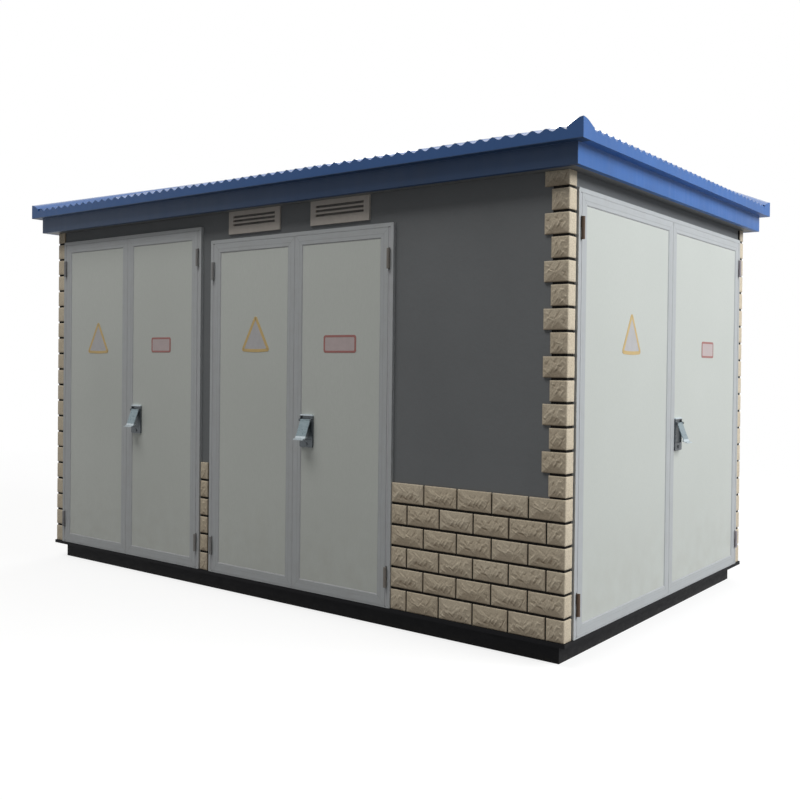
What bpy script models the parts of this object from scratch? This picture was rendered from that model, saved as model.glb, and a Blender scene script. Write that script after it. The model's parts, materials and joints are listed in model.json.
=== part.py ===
"""Compact substation: a panel-walled kiosk on a steel channel base, with three pairs of hinged doors,
brick-look cladding at the corners and the foot of the walls, and a low hipped roof of corrugated sheet.

Metres, +Z up, the ground at z = 0 and the origin at the middle of the footprint. The long front with two
pairs of doors faces -Y, and the end with the third pair faces +X.
"""

import math

import bmesh
import bpy
from mathutils import Matrix, Vector

# Fits and clearances
SEAT = 0.0003             # gap left between pieces that touch
SEAM_GAP = 0.008          # between the two leaves of a pair
EDGE_GAP = 0.014          # between a leaf and its frame, at the hinge side
LEAF_PLAY = 0.004         # between a leaf and its frame, at the head and the threshold
STOP_GAP = 0.006          # between the back of a closed leaf and the frame's stop
KNUCKLE_GAP = 0.0004      # between the two knuckles of a hinge, and at a lever's barrel

# Base and body
PLINTH_HEIGHT = 0.1027
PLINTH_INSET = 0.045      # from the wall's face in to the channel's web
CHANNEL_FLANGE = 0.053
CHANNEL_WALL = 0.006
FLOOR_THICKNESS = 0.022   # at its rim, which is flush with the cladding
BODY_LENGTH = 4.354       # over the wall faces
BODY_WIDTH = 2.632
WALL_THICKNESS = 0.075
CEILING_THICKNESS = 0.050

# Doorways in the front, from left to right, and the heights of all three
DOORWAY_1_WIDTH = 1.570
PIER_WIDTH = 0.098
DOORWAY_2_WIDTH = 1.527
TALL_DOOR_HEIGHT = 2.287
HEADER_HEIGHT = 0.076     # wall over the tall doorways
VENT_SILL = 0.030         # wall between the low doorway and the vents over it

# Brick-look cladding
BRICK_THICKNESS = 0.020
COURSE_HEIGHT = 0.120
DADO_COURSES = 6
QUOIN_SHORT = 0.107       # from the corner
QUOIN_LONG = 0.147
QUOIN_RETURN = 0.080      # plain leg beside a door
PIER_BRICK = 0.070        # one brick wide, set near the first door
PIER_BRICK_GAP = 0.004

# Door frame, a rebated section
FRAME_FACE = 0.022
THRESHOLD_FACE = 0.006
FRAME_STOP = 0.026        # how far the stop reaches behind the leaf, past the face
LEAF_THICKNESS = 0.040

# Leaf: a mitred ring of extruded section that holds a flat panel in its groove
STILE_WIDTH = 0.050
BEAD_WIDTH = 0.006
BEAD_THICKNESS = 0.0042
BEAD_CHAMFER = 0.002
PANEL_PLAY = 0.0003

# Hinges
HINGE_LENGTH = 0.115
HINGE_RISE = 0.175        # from the frame's foot to the middle of the lower hinge
HINGE_DROP = 0.203        # from the frame's head to the middle of the upper one
KNUCKLE_RADIUS = 0.0095
KNUCKLE_SIDES = 20
AXIS_PROUD = 0.010        # axis in front of the leaf's face
FLAG_LENGTH = 0.013
FLAG_PROUD = 0.003
FLAG_BITE = 0.002         # depth of the flag let into the face that carries it

# Paddle latch
LATCH_WIDTH = 0.104
LATCH_HEIGHT = 0.200
LATCH_THICKNESS = 0.012
LATCH_CORNER = 0.006
LATCH_MIDDLE = 0.976      # above the foot of the wall
LATCH_CLEARANCE = 0.001   # from the stile's bead
PAN_WIDTH = 0.092
PAN_DEPTH = 0.009
PAN_TOP_MARGIN = 0.012
PAN_HEIGHT = 0.142
PIVOT_DROP = 0.034        # below the top of the latch plate
PIVOT_OUT = 0.018         # in front of the panel
EAR_RADIUS = 0.008
EAR_RIM = 0.0045          # how far an ear reaches onto the plate beside the pan
EAR_FACETS = 6
FITTING_BITE = 0.001      # depth that the ears and the lock are let into the plate
BARREL_RADIUS = 0.005
LEVER_WIDTH = 0.080
LEVER_THICKNESS = 0.004
LEVER_LENGTH = 0.118
LEVER_TILT = math.radians(22.0)
LIP_OUT = 0.024
LIP_IN = 0.018
LIP_DROOP = math.radians(19.0)
LOCK_RADIUS = 0.011
LOCK_PROUD = 0.004
LOCK_RISE = 0.021         # above the foot of the latch plate

# Louvred vents over the second doorway
VENT_WIDTH = 0.460
VENT_HEIGHT = 0.146
VENT_SPACING = 0.720
VENT_SHIFT = 0.012        # of the pair, to the left of the doorway's middle
VENT_THICKNESS = 0.012
DUCT_MARGIN = 0.026       # from the vent's edge to the hole behind it
SLOT_COUNT = 3
SLOT_LENGTH = 0.375
SLOT_HEIGHT = 0.0145
SLOT_PITCH = 0.026
SLOT_RISE = 0.012         # of the slots' middle over the plate's
SLOT_FALL = math.radians(20.0)

# Eaves, a folded sheet round the top
FASCIA_OUT = 0.098        # from the wall's face
FASCIA_HEIGHT = 0.109
EAVES_OUT = 0.1525
EAVES_HEIGHT = 0.038
EAVES_RETURN = 0.040
SHEET_THICKNESS = 0.004

# Roof
ROOF_RISE = 0.366
HIP_SET_IN = 1.000        # from the end eaves to the end of the ridge
ROOF_BOARD = 0.010        # under the troughs
WAVE_PITCH = 0.076
WAVE_DEPTH = 0.018
WAVE_FACETS = 6
HIP_GAP = 0.0005
CAP_HALF_WIDTH = 0.060
CAP_EDGE = 0.003
CAP_CROWN = 0.032         # rise of the cap's middle over its edges
CAP_FACETS = 8
CAP_SEAT = 0.0005

# Derived levels and planes
wall_foot = PLINTH_HEIGHT + SEAT + FLOOR_THICKNESS + SEAT
wall_height = TALL_DOOR_HEIGHT + HEADER_HEIGHT
low_door_height = wall_height - VENT_HEIGHT - VENT_SILL
wall_top = wall_foot + wall_height
half_length = BODY_LENGTH / 2
half_width = BODY_WIDTH / 2
front_face = -half_width
back_face = half_width
left_face = -half_length
right_face = half_length
door_plane = front_face - BRICK_THICKNESS
ceiling_foot = wall_top + SEAT
ceiling_top = ceiling_foot + CEILING_THICKNESS
frame_depth = BRICK_THICKNESS + WALL_THICKNESS
stop_front = LEAF_THICKNESS + STOP_GAP
dado_top = wall_foot + DADO_COURSES * COURSE_HEIGHT
eaves_foot = ceiling_foot
eaves_step = eaves_foot + FASCIA_HEIGHT
eaves_top = eaves_step + EAVES_HEIGHT

# Doorways along the front
doorway_1 = (left_face + WALL_THICKNESS, left_face + WALL_THICKNESS + DOORWAY_1_WIDTH)
pier_span = (doorway_1[1], doorway_1[1] + PIER_WIDTH)
doorway_2 = (pier_span[1], pier_span[1] + DOORWAY_2_WIDTH)
front_wall_span = (doorway_2[1], right_face)
end_doorway = (front_face + WALL_THICKNESS, back_face - WALL_THICKNESS)


def clear_scene():
    for old in list(bpy.data.objects):
        bpy.data.objects.remove(old, do_unlink=True)


def make_material(name, colour, roughness, metallic=0.0):
    made = bpy.data.materials.new(name)
    made.use_nodes = True
    shader = made.node_tree.nodes["Principled BSDF"]
    shader.inputs["Base Color"].default_value = (*colour, 1.0)
    shader.inputs["Roughness"].default_value = roughness
    shader.inputs["Metallic"].default_value = metallic
    return made


def add_object(name, bm, material, parent=None, place=None):
    """Turns a bmesh into a named object, with its faces pointing out."""
    bmesh.ops.recalc_face_normals(bm, faces=bm.faces[:])
    mesh = bpy.data.meshes.new(name)
    bm.to_mesh(mesh)
    bm.free()
    mesh.materials.append(material)
    made = bpy.data.objects.new(name, mesh)
    bpy.context.scene.collection.objects.link(made)
    made.parent = parent
    if place is not None:
        made.matrix_local = place
    return made


def add_tool(name, bm, material, parent=None, place=None):
    """A cutter or a piece to be fused: a guide that is not rendered."""
    tool = add_object(name, bm, material, parent, place)
    tool.hide_render = True
    tool.display_type = "WIRE"
    return tool


def combine(target, tool, operation):
    """Cuts with a tool or fuses it on. A fused tool may hold pieces that overlap each other."""
    step = target.modifiers.new(operation.title(), "BOOLEAN")
    step.operation = operation
    step.solver = "EXACT"
    step.use_self = operation == "UNION"
    step.object = tool


def add_axis(name, location, parent=None, turn=0.0):
    axis = bpy.data.objects.new(name, None)
    bpy.context.scene.collection.objects.link(axis)
    axis.parent = parent
    axis.location = location
    axis.rotation_euler = (0.0, 0.0, turn)
    return axis


def add_block(bm, low, high):
    """Adds a rectangular solid between two corners."""
    low = Vector(low)
    high = Vector(high)
    made = bmesh.ops.create_cube(bm, size=1.0)
    bmesh.ops.scale(bm, vec=high - low, verts=made["verts"])
    bmesh.ops.translate(bm, vec=(low + high) / 2, verts=made["verts"])


def block(low, high):
    bm = bmesh.new()
    add_block(bm, low, high)
    return bm


def add_extrusion(bm, outline, sweep):
    """Adds a closed flat outline carried along the sweep vector."""
    face = bm.faces.new([bm.verts.new(point) for point in outline])
    moved = bmesh.ops.extrude_face_region(bm, geom=[face])
    verts = [item for item in moved["geom"] if isinstance(item, bmesh.types.BMVert)]
    bmesh.ops.translate(bm, vec=sweep, verts=verts)


def extrusion(outline, sweep):
    bm = bmesh.new()
    add_extrusion(bm, outline, sweep)
    return bm


def add_cylinder(bm, foot, along, radius, sides):
    """Adds a cylinder that starts at foot and runs along a vector."""
    along = Vector(along)
    turn = along.to_track_quat("Z", "Y").to_matrix().to_4x4()
    middle = Matrix.Translation(Vector(foot) + along / 2)
    bmesh.ops.create_cone(bm, cap_ends=True, segments=sides, radius1=radius, radius2=radius,
                          depth=along.length, matrix=middle @ turn)


def mitred_ring(section, rectangle, place, low_insets=None):
    """Sweeps a section of (inset, depth) points round a rectangle with mitred corners.

    low_insets stands for the section's insets along the rectangle's low side, where they differ.
    """
    a0, a1, b0, b1 = rectangle
    bm = bmesh.new()
    rows = []
    for index, (inset, depth) in enumerate(section):
        low = low_insets[index] if low_insets else inset
        corners = ((a0 + inset, b0 + low), (a1 - inset, b0 + low),
                   (a1 - inset, b1 - inset), (a0 + inset, b1 - inset))
        rows.append([bm.verts.new(place(a, b, depth)) for a, b in corners])
    for here, after in zip(rows, rows[1:] + rows[:1]):
        for corner, following in ((0, 1), (1, 2), (2, 3), (3, 0)):
            bm.faces.new((here[corner], here[following], after[following], after[corner]))
    return bm


def upright(a, b, depth):
    """Places a ring in the door plane: a along X, b up, depth back along +Y."""
    return (a, depth, b)


def level(a, b, depth):
    """Places a ring round the plan: a along X, b along Y, depth up."""
    return (a, b, depth)


def make_base():
    outer = (left_face + PLINTH_INSET, right_face - PLINTH_INSET,
             front_face + PLINTH_INSET, back_face - PLINTH_INSET)
    top = PLINTH_HEIGHT
    channel = ((0.0, 0.0), (CHANNEL_FLANGE, 0.0), (CHANNEL_FLANGE, CHANNEL_WALL),
               (CHANNEL_WALL, CHANNEL_WALL), (CHANNEL_WALL, top - CHANNEL_WALL),
               (CHANNEL_FLANGE, top - CHANNEL_WALL), (CHANNEL_FLANGE, top), (0.0, top))
    add_object("base_frame", mitred_ring(channel, outer, level), black_paint)
    floor_foot = PLINTH_HEIGHT + SEAT
    sill = BRICK_THICKNESS
    add_object("floor_plate",
               block((left_face - sill, front_face - sill, floor_foot),
                     (right_face + sill, back_face + sill, floor_foot + FLOOR_THICKNESS)), black_paint)


def make_walls():
    """The four sides, split beside and over each doorway."""
    inner_front = front_face + WALL_THICKNESS
    inner_back = back_face - WALL_THICKNESS
    inner_left = left_face + WALL_THICKNESS
    inner_right = right_face - WALL_THICKNESS

    def slab(name, low, high):
        return add_object(name, block(low, high), wall_paint)

    slab("left_wall", (left_face, front_face, wall_foot), (inner_left - SEAT, back_face, wall_top))
    slab("back_wall", (inner_left, inner_back, wall_foot), (right_face, back_face, wall_top))
    slab("front_wall", (front_wall_span[0], front_face, wall_foot),
         (front_wall_span[1], inner_front, wall_top))
    slab("front_pier", (pier_span[0], front_face, wall_foot), (pier_span[1], inner_front, wall_top))
    tall_top = wall_foot + TALL_DOOR_HEIGHT
    slab("header_1", (doorway_1[0] + SEAT, front_face, tall_top),
         (doorway_1[1] - SEAT, inner_front, wall_top))
    slab("end_header", (inner_right, end_doorway[0] + SEAT, tall_top),
         (right_face, end_doorway[1] - SEAT, wall_top))
    header = slab("header_2", (doorway_2[0] + SEAT, front_face, wall_foot + low_door_height),
                  (doorway_2[1] - SEAT, inner_front, wall_top))
    ducts = bmesh.new()
    for centre in vent_centres():
        half = VENT_WIDTH / 2 - DUCT_MARGIN
        add_block(ducts, (centre - half, front_face - WALL_THICKNESS, wall_top - VENT_HEIGHT + DUCT_MARGIN),
                  (centre + half, inner_front + WALL_THICKNESS, wall_top - DUCT_MARGIN))
    combine(header, add_tool("cut_ducts", ducts, wall_paint), "DIFFERENCE")
    add_object("ceiling", block((left_face, front_face, ceiling_foot),
                                (right_face, back_face, ceiling_top)), wall_paint)


def vent_centres():
    middle = (doorway_2[0] + doorway_2[1]) / 2 - VENT_SHIFT
    return (middle - VENT_SPACING / 2, middle + VENT_SPACING / 2)


def make_vents():
    """A plate with slots that fall outwards, over each hole in the header."""
    back = front_face - SEAT
    front = back - VENT_THICKNESS
    top = wall_top - SEAT
    foot = top - VENT_HEIGHT
    for number, centre in enumerate(vent_centres(), 1):
        plate = add_object("vent_%d" % number,
                           block((centre - VENT_WIDTH / 2, front, foot),
                                 (centre + VENT_WIDTH / 2, back, top)), vent_aluminium)
        slots = bmesh.new()
        for row in range(SLOT_COUNT):
            height = (foot + top) / 2 + SLOT_RISE + (row - (SLOT_COUNT - 1) / 2) * SLOT_PITCH
            over = VENT_THICKNESS
            fall = (over + VENT_THICKNESS / 2) * math.tan(SLOT_FALL)
            half = SLOT_HEIGHT / 2
            side = centre - SLOT_LENGTH / 2
            outline = ((side, front - over, height - half - fall), (side, back + over, height - half + fall),
                       (side, back + over, height + half + fall), (side, front - over, height + half - fall))
            add_extrusion(slots, outline, (SLOT_LENGTH, 0.0, 0.0))
        combine(plate, add_tool("cut_slots_%d" % number, slots, vent_aluminium), "DIFFERENCE")


def short_courses():
    """Height spans where a toothed quoin is short: beside the dado, one course over it, then every second."""
    spans = [(wall_foot - COURSE_HEIGHT, dado_top + COURSE_HEIGHT)]
    while spans[-1][1] + COURSE_HEIGHT < wall_top:
        foot = spans[-1][1] + COURSE_HEIGHT
        spans.append((foot, foot + COURSE_HEIGHT))
    return spans


def make_quoin(name, side_x, side_y, reach_x, reach_y, toothed_x, toothed_y):
    """An L-shaped corner cladding. A toothed leg loses every second course, and all below the dado's top."""
    corner_x = side_x * (half_length + BRICK_THICKNESS)
    corner_y = side_y * (half_width + BRICK_THICKNESS)
    inner_x = side_x * (half_length + SEAT)
    inner_y = side_y * (half_width + SEAT)
    end_x = corner_x - side_x * reach_x
    end_y = corner_y - side_y * reach_y
    outline = ((corner_x, corner_y, wall_foot), (end_x, corner_y, wall_foot), (end_x, inner_y, wall_foot),
               (inner_x, inner_y, wall_foot), (inner_x, end_y, wall_foot), (corner_x, end_y, wall_foot))
    strip = add_object(name, extrusion(outline, (0.0, 0.0, wall_height - SEAT)), brick)
    notches = bmesh.new()
    cut = QUOIN_LONG - QUOIN_SHORT
    for foot, head in short_courses():
        if toothed_x:
            xs = sorted((end_x - side_x * cut, end_x + side_x * cut))
            ys = sorted((corner_y + side_y * cut, inner_y - side_y * cut))
            add_block(notches, (xs[0], ys[0], foot), (xs[1], ys[1], head))
        if toothed_y:
            ys = sorted((end_y - side_y * cut, end_y + side_y * cut))
            xs = sorted((corner_x + side_x * cut, inner_x - side_x * cut))
            add_block(notches, (xs[0], ys[0], foot), (xs[1], ys[1], head))
    combine(strip, add_tool("cut_" + name, notches, brick), "DIFFERENCE")


def make_cladding():
    make_quoin("quoin_front_right", 1, -1, QUOIN_LONG, QUOIN_RETURN, True, False)
    make_quoin("quoin_back_right", 1, 1, QUOIN_LONG, QUOIN_RETURN, True, False)
    make_quoin("quoin_front_left", -1, -1, QUOIN_RETURN, QUOIN_LONG, False, True)
    make_quoin("quoin_back_left", -1, 1, QUOIN_LONG, QUOIN_LONG, True, True)
    front = front_face - BRICK_THICKNESS
    back = back_face + BRICK_THICKNESS
    left = left_face - BRICK_THICKNESS
    right = right_face + BRICK_THICKNESS

    def dado(name, low, high):
        add_object(name, block((*low, wall_foot), (*high, dado_top)), brick)

    dado("dado_front", (front_wall_span[0], front), (right - QUOIN_SHORT - SEAT, front_face - SEAT))
    pier_brick = pier_span[0] + PIER_BRICK_GAP
    dado("dado_pier", (pier_brick, front), (pier_brick + PIER_BRICK, front_face - SEAT))
    dado("dado_back", (left + QUOIN_SHORT + SEAT, back_face + SEAT), (right - QUOIN_SHORT - SEAT, back))
    dado("dado_left", (left, front + QUOIN_SHORT + SEAT), (left_face - SEAT, back - QUOIN_SHORT - SEAT))


def make_eaves():
    """One folded sheet: soffit, fascia, a step out, the eaves band and a return that carries the roof."""
    thin = SHEET_THICKNESS
    inner = SEAT
    section = ((-inner, eaves_foot), (-FASCIA_OUT, eaves_foot), (-FASCIA_OUT, eaves_step),
               (-EAVES_OUT, eaves_step), (-EAVES_OUT, eaves_top), (-EAVES_OUT + EAVES_RETURN, eaves_top),
               (-EAVES_OUT + EAVES_RETURN, eaves_top - thin), (-EAVES_OUT + thin, eaves_top - thin),
               (-EAVES_OUT + thin, eaves_step + thin), (-FASCIA_OUT + thin, eaves_step + thin),
               (-FASCIA_OUT + thin, eaves_foot + thin), (-inner - thin, eaves_foot + thin),
               (-inner - thin, ceiling_top), (-inner, ceiling_top))
    outer = (left_face, right_face, front_face, back_face)
    add_object("eaves", mitred_ring(section, outer, level), blue_paint)


def wave_height(along):
    return ROOF_BOARD + WAVE_DEPTH * (1 + math.cos(2 * math.pi * along / WAVE_PITCH)) / 2


def wave_stations(half_eaves, half_ridge):
    """Stations along the eaves: the wave's facets, and the corners of the sheet in plan."""
    step = WAVE_PITCH / WAVE_FACETS
    count = int(half_eaves / step)
    plain = [index * step for index in range(-count, count + 1)]
    fixed = sorted({-half_eaves, -half_ridge, half_ridge, half_eaves})
    kept = [x for x in plain if min(abs(x - corner) for corner in fixed) > step / 4]
    return sorted(kept + fixed)


def roof_sheet(name, half_eaves, run, half_ridge, place):
    """A hipped roof slope. Its eaves run along X at y = 0, and it climbs along +Y to the ridge or apex."""
    pitch = ROOF_RISE / run
    half_foot = half_eaves - HIP_GAP
    hip_run = run / (half_eaves - half_ridge)
    head_y = run - HIP_GAP if half_ridge else run * half_foot / half_eaves
    half_head = half_foot - head_y / hip_run if half_ridge else 0.0
    bm = bmesh.new()
    stations = wave_stations(half_foot, half_head)
    low_row = [bm.verts.new((x, 0.0, wave_height(x))) for x in stations]
    high_row = [low_row[0]]
    for x in stations[1:-1]:
        y = min(head_y, hip_run * (half_foot - abs(x)))
        high_row.append(bm.verts.new((x, y, y * pitch + wave_height(x))))
    high_row.append(low_row[-1])
    for i in range(len(stations) - 1):
        ring = (low_row[i], low_row[i + 1], high_row[i + 1], high_row[i])
        bm.faces.new(list(dict.fromkeys(ring)))
    left_foot = bm.verts.new((-half_foot, 0.0, 0.0))
    right_foot = bm.verts.new((half_foot, 0.0, 0.0))
    left_head = bm.verts.new((-half_head, head_y, head_y * pitch))
    right_head = bm.verts.new((half_head, head_y, head_y * pitch)) if half_head else left_head
    left_turn = stations.index(-half_head) if half_head else stations.index(0.0)
    right_turn = stations.index(half_head) if half_head else left_turn
    bm.faces.new([left_foot, right_foot] + low_row[::-1])
    bm.faces.new([left_foot] + high_row[:left_turn + 1] + [left_head])
    bm.faces.new([right_foot, right_head] + high_row[right_turn:])
    if half_head:
        bm.faces.new([left_head] + high_row[left_turn:right_turn + 1] + [right_head])
        bm.faces.new((left_foot, left_head, right_head, right_foot))
    else:
        bm.faces.new((left_foot, left_head, right_foot))
    return add_object(name, bm, blue_paint, place=place)


def make_roof():
    half_x = half_length + EAVES_OUT
    half_y = half_width + EAVES_OUT
    half_ridge = half_x - HIP_SET_IN
    foot = eaves_top + SEAT

    def at(x, y, turn):
        return Matrix.Translation((x, y, foot)) @ Matrix.Rotation(turn, 4, "Z")

    roof_sheet("roof_front", half_x, half_y, half_ridge, at(0.0, -half_y, 0.0))
    roof_sheet("roof_back", half_x, half_y, half_ridge, at(0.0, half_y, math.pi))
    roof_sheet("roof_right", half_y, HIP_SET_IN, 0.0, at(half_x, 0.0, math.pi / 2))
    roof_sheet("roof_left", half_y, HIP_SET_IN, 0.0, at(-half_x, 0.0, -math.pi / 2))
    make_caps(half_x, half_y, half_ridge, foot + ROOF_BOARD + WAVE_DEPTH + CAP_SEAT)


def cap_section(origin, across, fall_a, fall_b):
    """A cap's section: a V underneath that lies on both slopes, and a rounded back."""
    points = [origin - across * CAP_HALF_WIDTH - Vector((0, 0, fall_a * CAP_HALF_WIDTH)), origin.copy(),
              origin + across * CAP_HALF_WIDTH - Vector((0, 0, fall_b * CAP_HALF_WIDTH))]
    for index in range(CAP_FACETS + 1):
        share = 1 - 2 * index / CAP_FACETS
        fall = (fall_b if share > 0 else fall_a) * abs(share) * CAP_HALF_WIDTH
        crown = CAP_EDGE + CAP_CROWN * math.cos(share * math.pi / 2)
        points.append(origin + across * (share * CAP_HALF_WIDTH) + Vector((0, 0, crown - fall)))
    return points


def trim(bm, point, outward):
    """Cuts away what lies past a plane and closes the cut."""
    cut = bmesh.ops.bisect_plane(bm, geom=bm.verts[:] + bm.edges[:] + bm.faces[:], plane_co=point,
                                 plane_no=outward, clear_outer=True)
    edges = [item for item in cut["geom_cut"] if isinstance(item, bmesh.types.BMEdge)]
    bmesh.ops.holes_fill(bm, edges=edges)


def make_caps(half_x, half_y, half_ridge, foot):
    """Ridge and hip caps: folded flashings that lie on the crests of the sheets and meet at mitres."""
    pitch_front = ROOF_RISE / half_y
    pitch_end = ROOF_RISE / HIP_SET_IN
    peak = foot + ROOF_RISE
    half_gap = SEAT / 2
    ridge_reach = half_ridge + CAP_HALF_WIDTH
    outline = cap_section(Vector((-ridge_reach, 0.0, peak)), Vector((0.0, 1.0, 0.0)), pitch_front, pitch_front)
    ridge = extrusion(outline, (2 * ridge_reach, 0.0, 0.0))
    for side_x, end in ((-1, "left"), (1, "right")):
        for side_y, side in ((-1, "front"), (1, "back")):
            corner = Vector((side_x * half_x, side_y * half_y, foot))
            head = Vector((side_x * half_ridge, 0.0, peak))
            along = head - corner
            plan = Vector((along.x, along.y, 0.0)).normalized()
            across = Vector((-plan.y, plan.x, 0.0))
            if across.x * side_x < 0:
                across = -across
            fall_long = pitch_front * abs(across.y)
            fall_end = pitch_end * abs(across.x)
            over = along.normalized() * CAP_HALF_WIDTH / min(abs(plan.x), abs(plan.y))
            hip = extrusion(cap_section(corner - over, across, fall_long, fall_end), along + over)
            trim(hip, (side_x * half_x, 0.0, 0.0), (side_x, 0.0, 0.0))
            trim(hip, (0.0, side_y * half_y, 0.0), (0.0, side_y, 0.0))
            trim(hip, (0.0, side_y * half_gap, 0.0), (0.0, -side_y, 0.0))
            from_ridge = (Vector((side_x, 0.0, 0.0)) - plan).normalized()
            trim(hip, head + from_ridge * half_gap, -from_ridge)
            trim(ridge, head - from_ridge * half_gap, from_ridge)
            add_object("hip_cap_%s_%s" % (side, end), hip, blue_paint)
    add_object("ridge_cap", ridge, blue_paint)


def hinge_heights(height):
    """The middles of a leaf's two hinges."""
    return (HINGE_RISE, height - HINGE_DROP)


def add_knuckles(bm, axis_x, heights, upper, flag_to):
    """Half of each hinge: a barrel and the flag that ties it to the piece that carries it."""
    half = HINGE_LENGTH / 2
    for middle in heights:
        foot = middle + KNUCKLE_GAP / 2 if upper else middle - half
        head = middle + half if upper else middle - KNUCKLE_GAP / 2
        add_cylinder(bm, (axis_x, -AXIS_PROUD, foot), (0.0, 0.0, head - foot), KNUCKLE_RADIUS, KNUCKLE_SIDES)
        low_x, high_x = sorted((axis_x, axis_x + flag_to))
        add_block(bm, (low_x, -FLAG_PROUD, foot + FLAG_BITE), (high_x, FLAG_BITE, head - FLAG_BITE))


def frame_ring(outer):
    """A rebated frame whose foot shows only a low threshold in front of its stop."""
    stop = FRAME_FACE + FRAME_STOP
    section = ((0.0, 0.0), (FRAME_FACE, 0.0), (FRAME_FACE, stop_front), (stop, stop_front),
               (stop, frame_depth), (0.0, frame_depth))
    return mitred_ring(section, outer, upright, (0.0, THRESHOLD_FACE, THRESHOLD_FACE, stop, stop, 0.0))


def leaf_section():
    """Extruded section of a leaf's ring: outer wall, and a groove between two beads for the panel."""
    bead = STILE_WIDTH + BEAD_WIDTH
    back = LEAF_THICKNESS
    return ((0.0, 0.0), (bead - BEAD_CHAMFER, 0.0), (bead, BEAD_CHAMFER), (bead, BEAD_THICKNESS),
            (STILE_WIDTH, BEAD_THICKNESS), (STILE_WIDTH, back - BEAD_THICKNESS),
            (bead, back - BEAD_THICKNESS), (bead, back), (0.0, back))


def latch_plate(name, centre, foot, panel_front, parent, place):
    """Latch plate with a pan for the lever, two ears for its barrel and a key lock below."""
    back = panel_front - SEAT
    front = back - LATCH_THICKNESS
    half = LATCH_WIDTH / 2
    top = foot + LATCH_HEIGHT
    c = LATCH_CORNER
    outline = ((centre - half + c, front, foot), (centre + half - c, front, foot),
               (centre + half, front, foot + c), (centre + half, front, top - c),
               (centre + half - c, front, top), (centre - half + c, front, top),
               (centre - half, front, top - c), (centre - half, front, foot + c))
    plate = add_object(name, extrusion(outline, (0.0, LATCH_THICKNESS, 0.0)), zinc, parent, place)
    pan_top = top - PAN_TOP_MARGIN
    pan = block((centre - PAN_WIDTH / 2, front - PAN_DEPTH, pan_top - PAN_HEIGHT),
                (centre + PAN_WIDTH / 2, front + PAN_DEPTH, pan_top))
    combine(plate, add_tool("cut_" + name, pan, zinc, parent, place), "DIFFERENCE")
    pivot_y = panel_front - PIVOT_OUT
    pivot_z = top - PIVOT_DROP
    inner = LEVER_WIDTH / 2 + KNUCKLE_GAP
    width = PAN_WIDTH / 2 + EAR_RIM - inner
    ear_foot = front + PAN_DEPTH + FITTING_BITE
    fittings = bmesh.new()
    for side in (-1, 1):
        first = centre + side * inner
        ear = [(first, pivot_y + EAR_RADIUS * math.sin(turn), pivot_z + EAR_RADIUS * math.cos(turn))
               for turn in [math.pi * (1 + index / EAR_FACETS) for index in range(EAR_FACETS + 1)]]
        ear += [(first, ear_foot, pivot_z + EAR_RADIUS), (first, ear_foot, pivot_z - EAR_RADIUS)]
        add_extrusion(fittings, ear, (side * width, 0.0, 0.0))
    add_cylinder(fittings, (centre, front - LOCK_PROUD, foot + LOCK_RISE),
                 (0.0, LOCK_PROUD + FITTING_BITE, 0.0), LOCK_RADIUS, KNUCKLE_SIDES)
    combine(plate, add_tool("fuse_" + name, fittings, zinc, parent, place), "UNION")
    return Vector((centre, pivot_y, pivot_z))


def lever_outline():
    """Side view of the lever about its pivot, as (out, up): a flat arm and a finger lip across its end."""
    arm = Vector((math.sin(LEVER_TILT), -math.cos(LEVER_TILT)))
    normal = Vector((math.cos(LEVER_TILT), math.sin(LEVER_TILT)))
    lip = Vector((math.cos(LIP_DROOP), -math.sin(LIP_DROOP)))
    under = Vector((-math.sin(LIP_DROOP), -math.cos(LIP_DROOP)))
    half = LEVER_THICKNESS / 2
    end = arm * LEVER_LENGTH

    def on_lip(face_offset):
        """Where a face of the arm meets the top of the lip."""
        start = normal * face_offset
        top = end - under * half
        reach = (top - start).dot(under) / arm.dot(under)
        return start + arm * reach

    return (normal * half, on_lip(half), end + lip * LIP_OUT - under * half,
            end + lip * LIP_OUT + under * half, end - lip * LIP_IN + under * half,
            end - lip * LIP_IN - under * half, on_lip(-half), -normal * half)


def make_lever(name, axis):
    half = LEVER_WIDTH / 2
    outline = [(-half, -out, up) for out, up in lever_outline()]
    lever = add_object(name, extrusion(outline, (LEVER_WIDTH, 0.0, 0.0)), zinc, axis)
    barrel = bmesh.new()
    add_cylinder(barrel, (-half, 0.0, 0.0), (LEVER_WIDTH, 0.0, 0.0), BARREL_RADIUS, KNUCKLE_SIDES)
    combine(lever, add_tool("fuse_" + name, barrel, zinc, axis), "UNION")


def make_leaf(name, span, axis_x, height_span, hinge_rows, door, latched):
    """One leaf on its hinge axis: the ring with its knuckles, the panel and, on the right, a latch."""
    axis = add_axis(name + "_axis", (axis_x, -AXIS_PROUD, 0.0), door)
    place = Matrix.Translation((-axis_x, AXIS_PROUD, 0.0))
    x0, x1 = span
    z0, z1 = height_span
    towards = 1 if axis_x < x0 else -1
    ring = add_object(name + "_frame", mitred_ring(leaf_section(), (x0, x1, z0, z1), upright), aluminium,
                      axis, place)
    knuckles = bmesh.new()
    add_knuckles(knuckles, axis_x, hinge_rows, True, towards * FLAG_LENGTH)
    combine(ring, add_tool("fuse_" + name, knuckles, aluminium, axis, place), "UNION")
    inset = STILE_WIDTH + PANEL_PLAY
    panel_front = BEAD_THICKNESS + PANEL_PLAY
    add_object(name + "_panel",
               block((x0 + inset, panel_front, z0 + inset),
                     (x1 - inset, LEAF_THICKNESS - panel_front, z1 - inset)), panel_paint, axis, place)
    if latched:
        centre = x0 + STILE_WIDTH + BEAD_WIDTH + LATCH_CLEARANCE + LATCH_WIDTH / 2
        foot = LATCH_MIDDLE - LATCH_HEIGHT / 2
        pivot = latch_plate(name + "_latch", centre, foot, panel_front, axis, place)
        offset = pivot - Vector((axis_x, -AXIS_PROUD, 0.0))
        make_lever(name + "_lever", add_axis(name + "_lever_axis", offset, axis))


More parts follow.
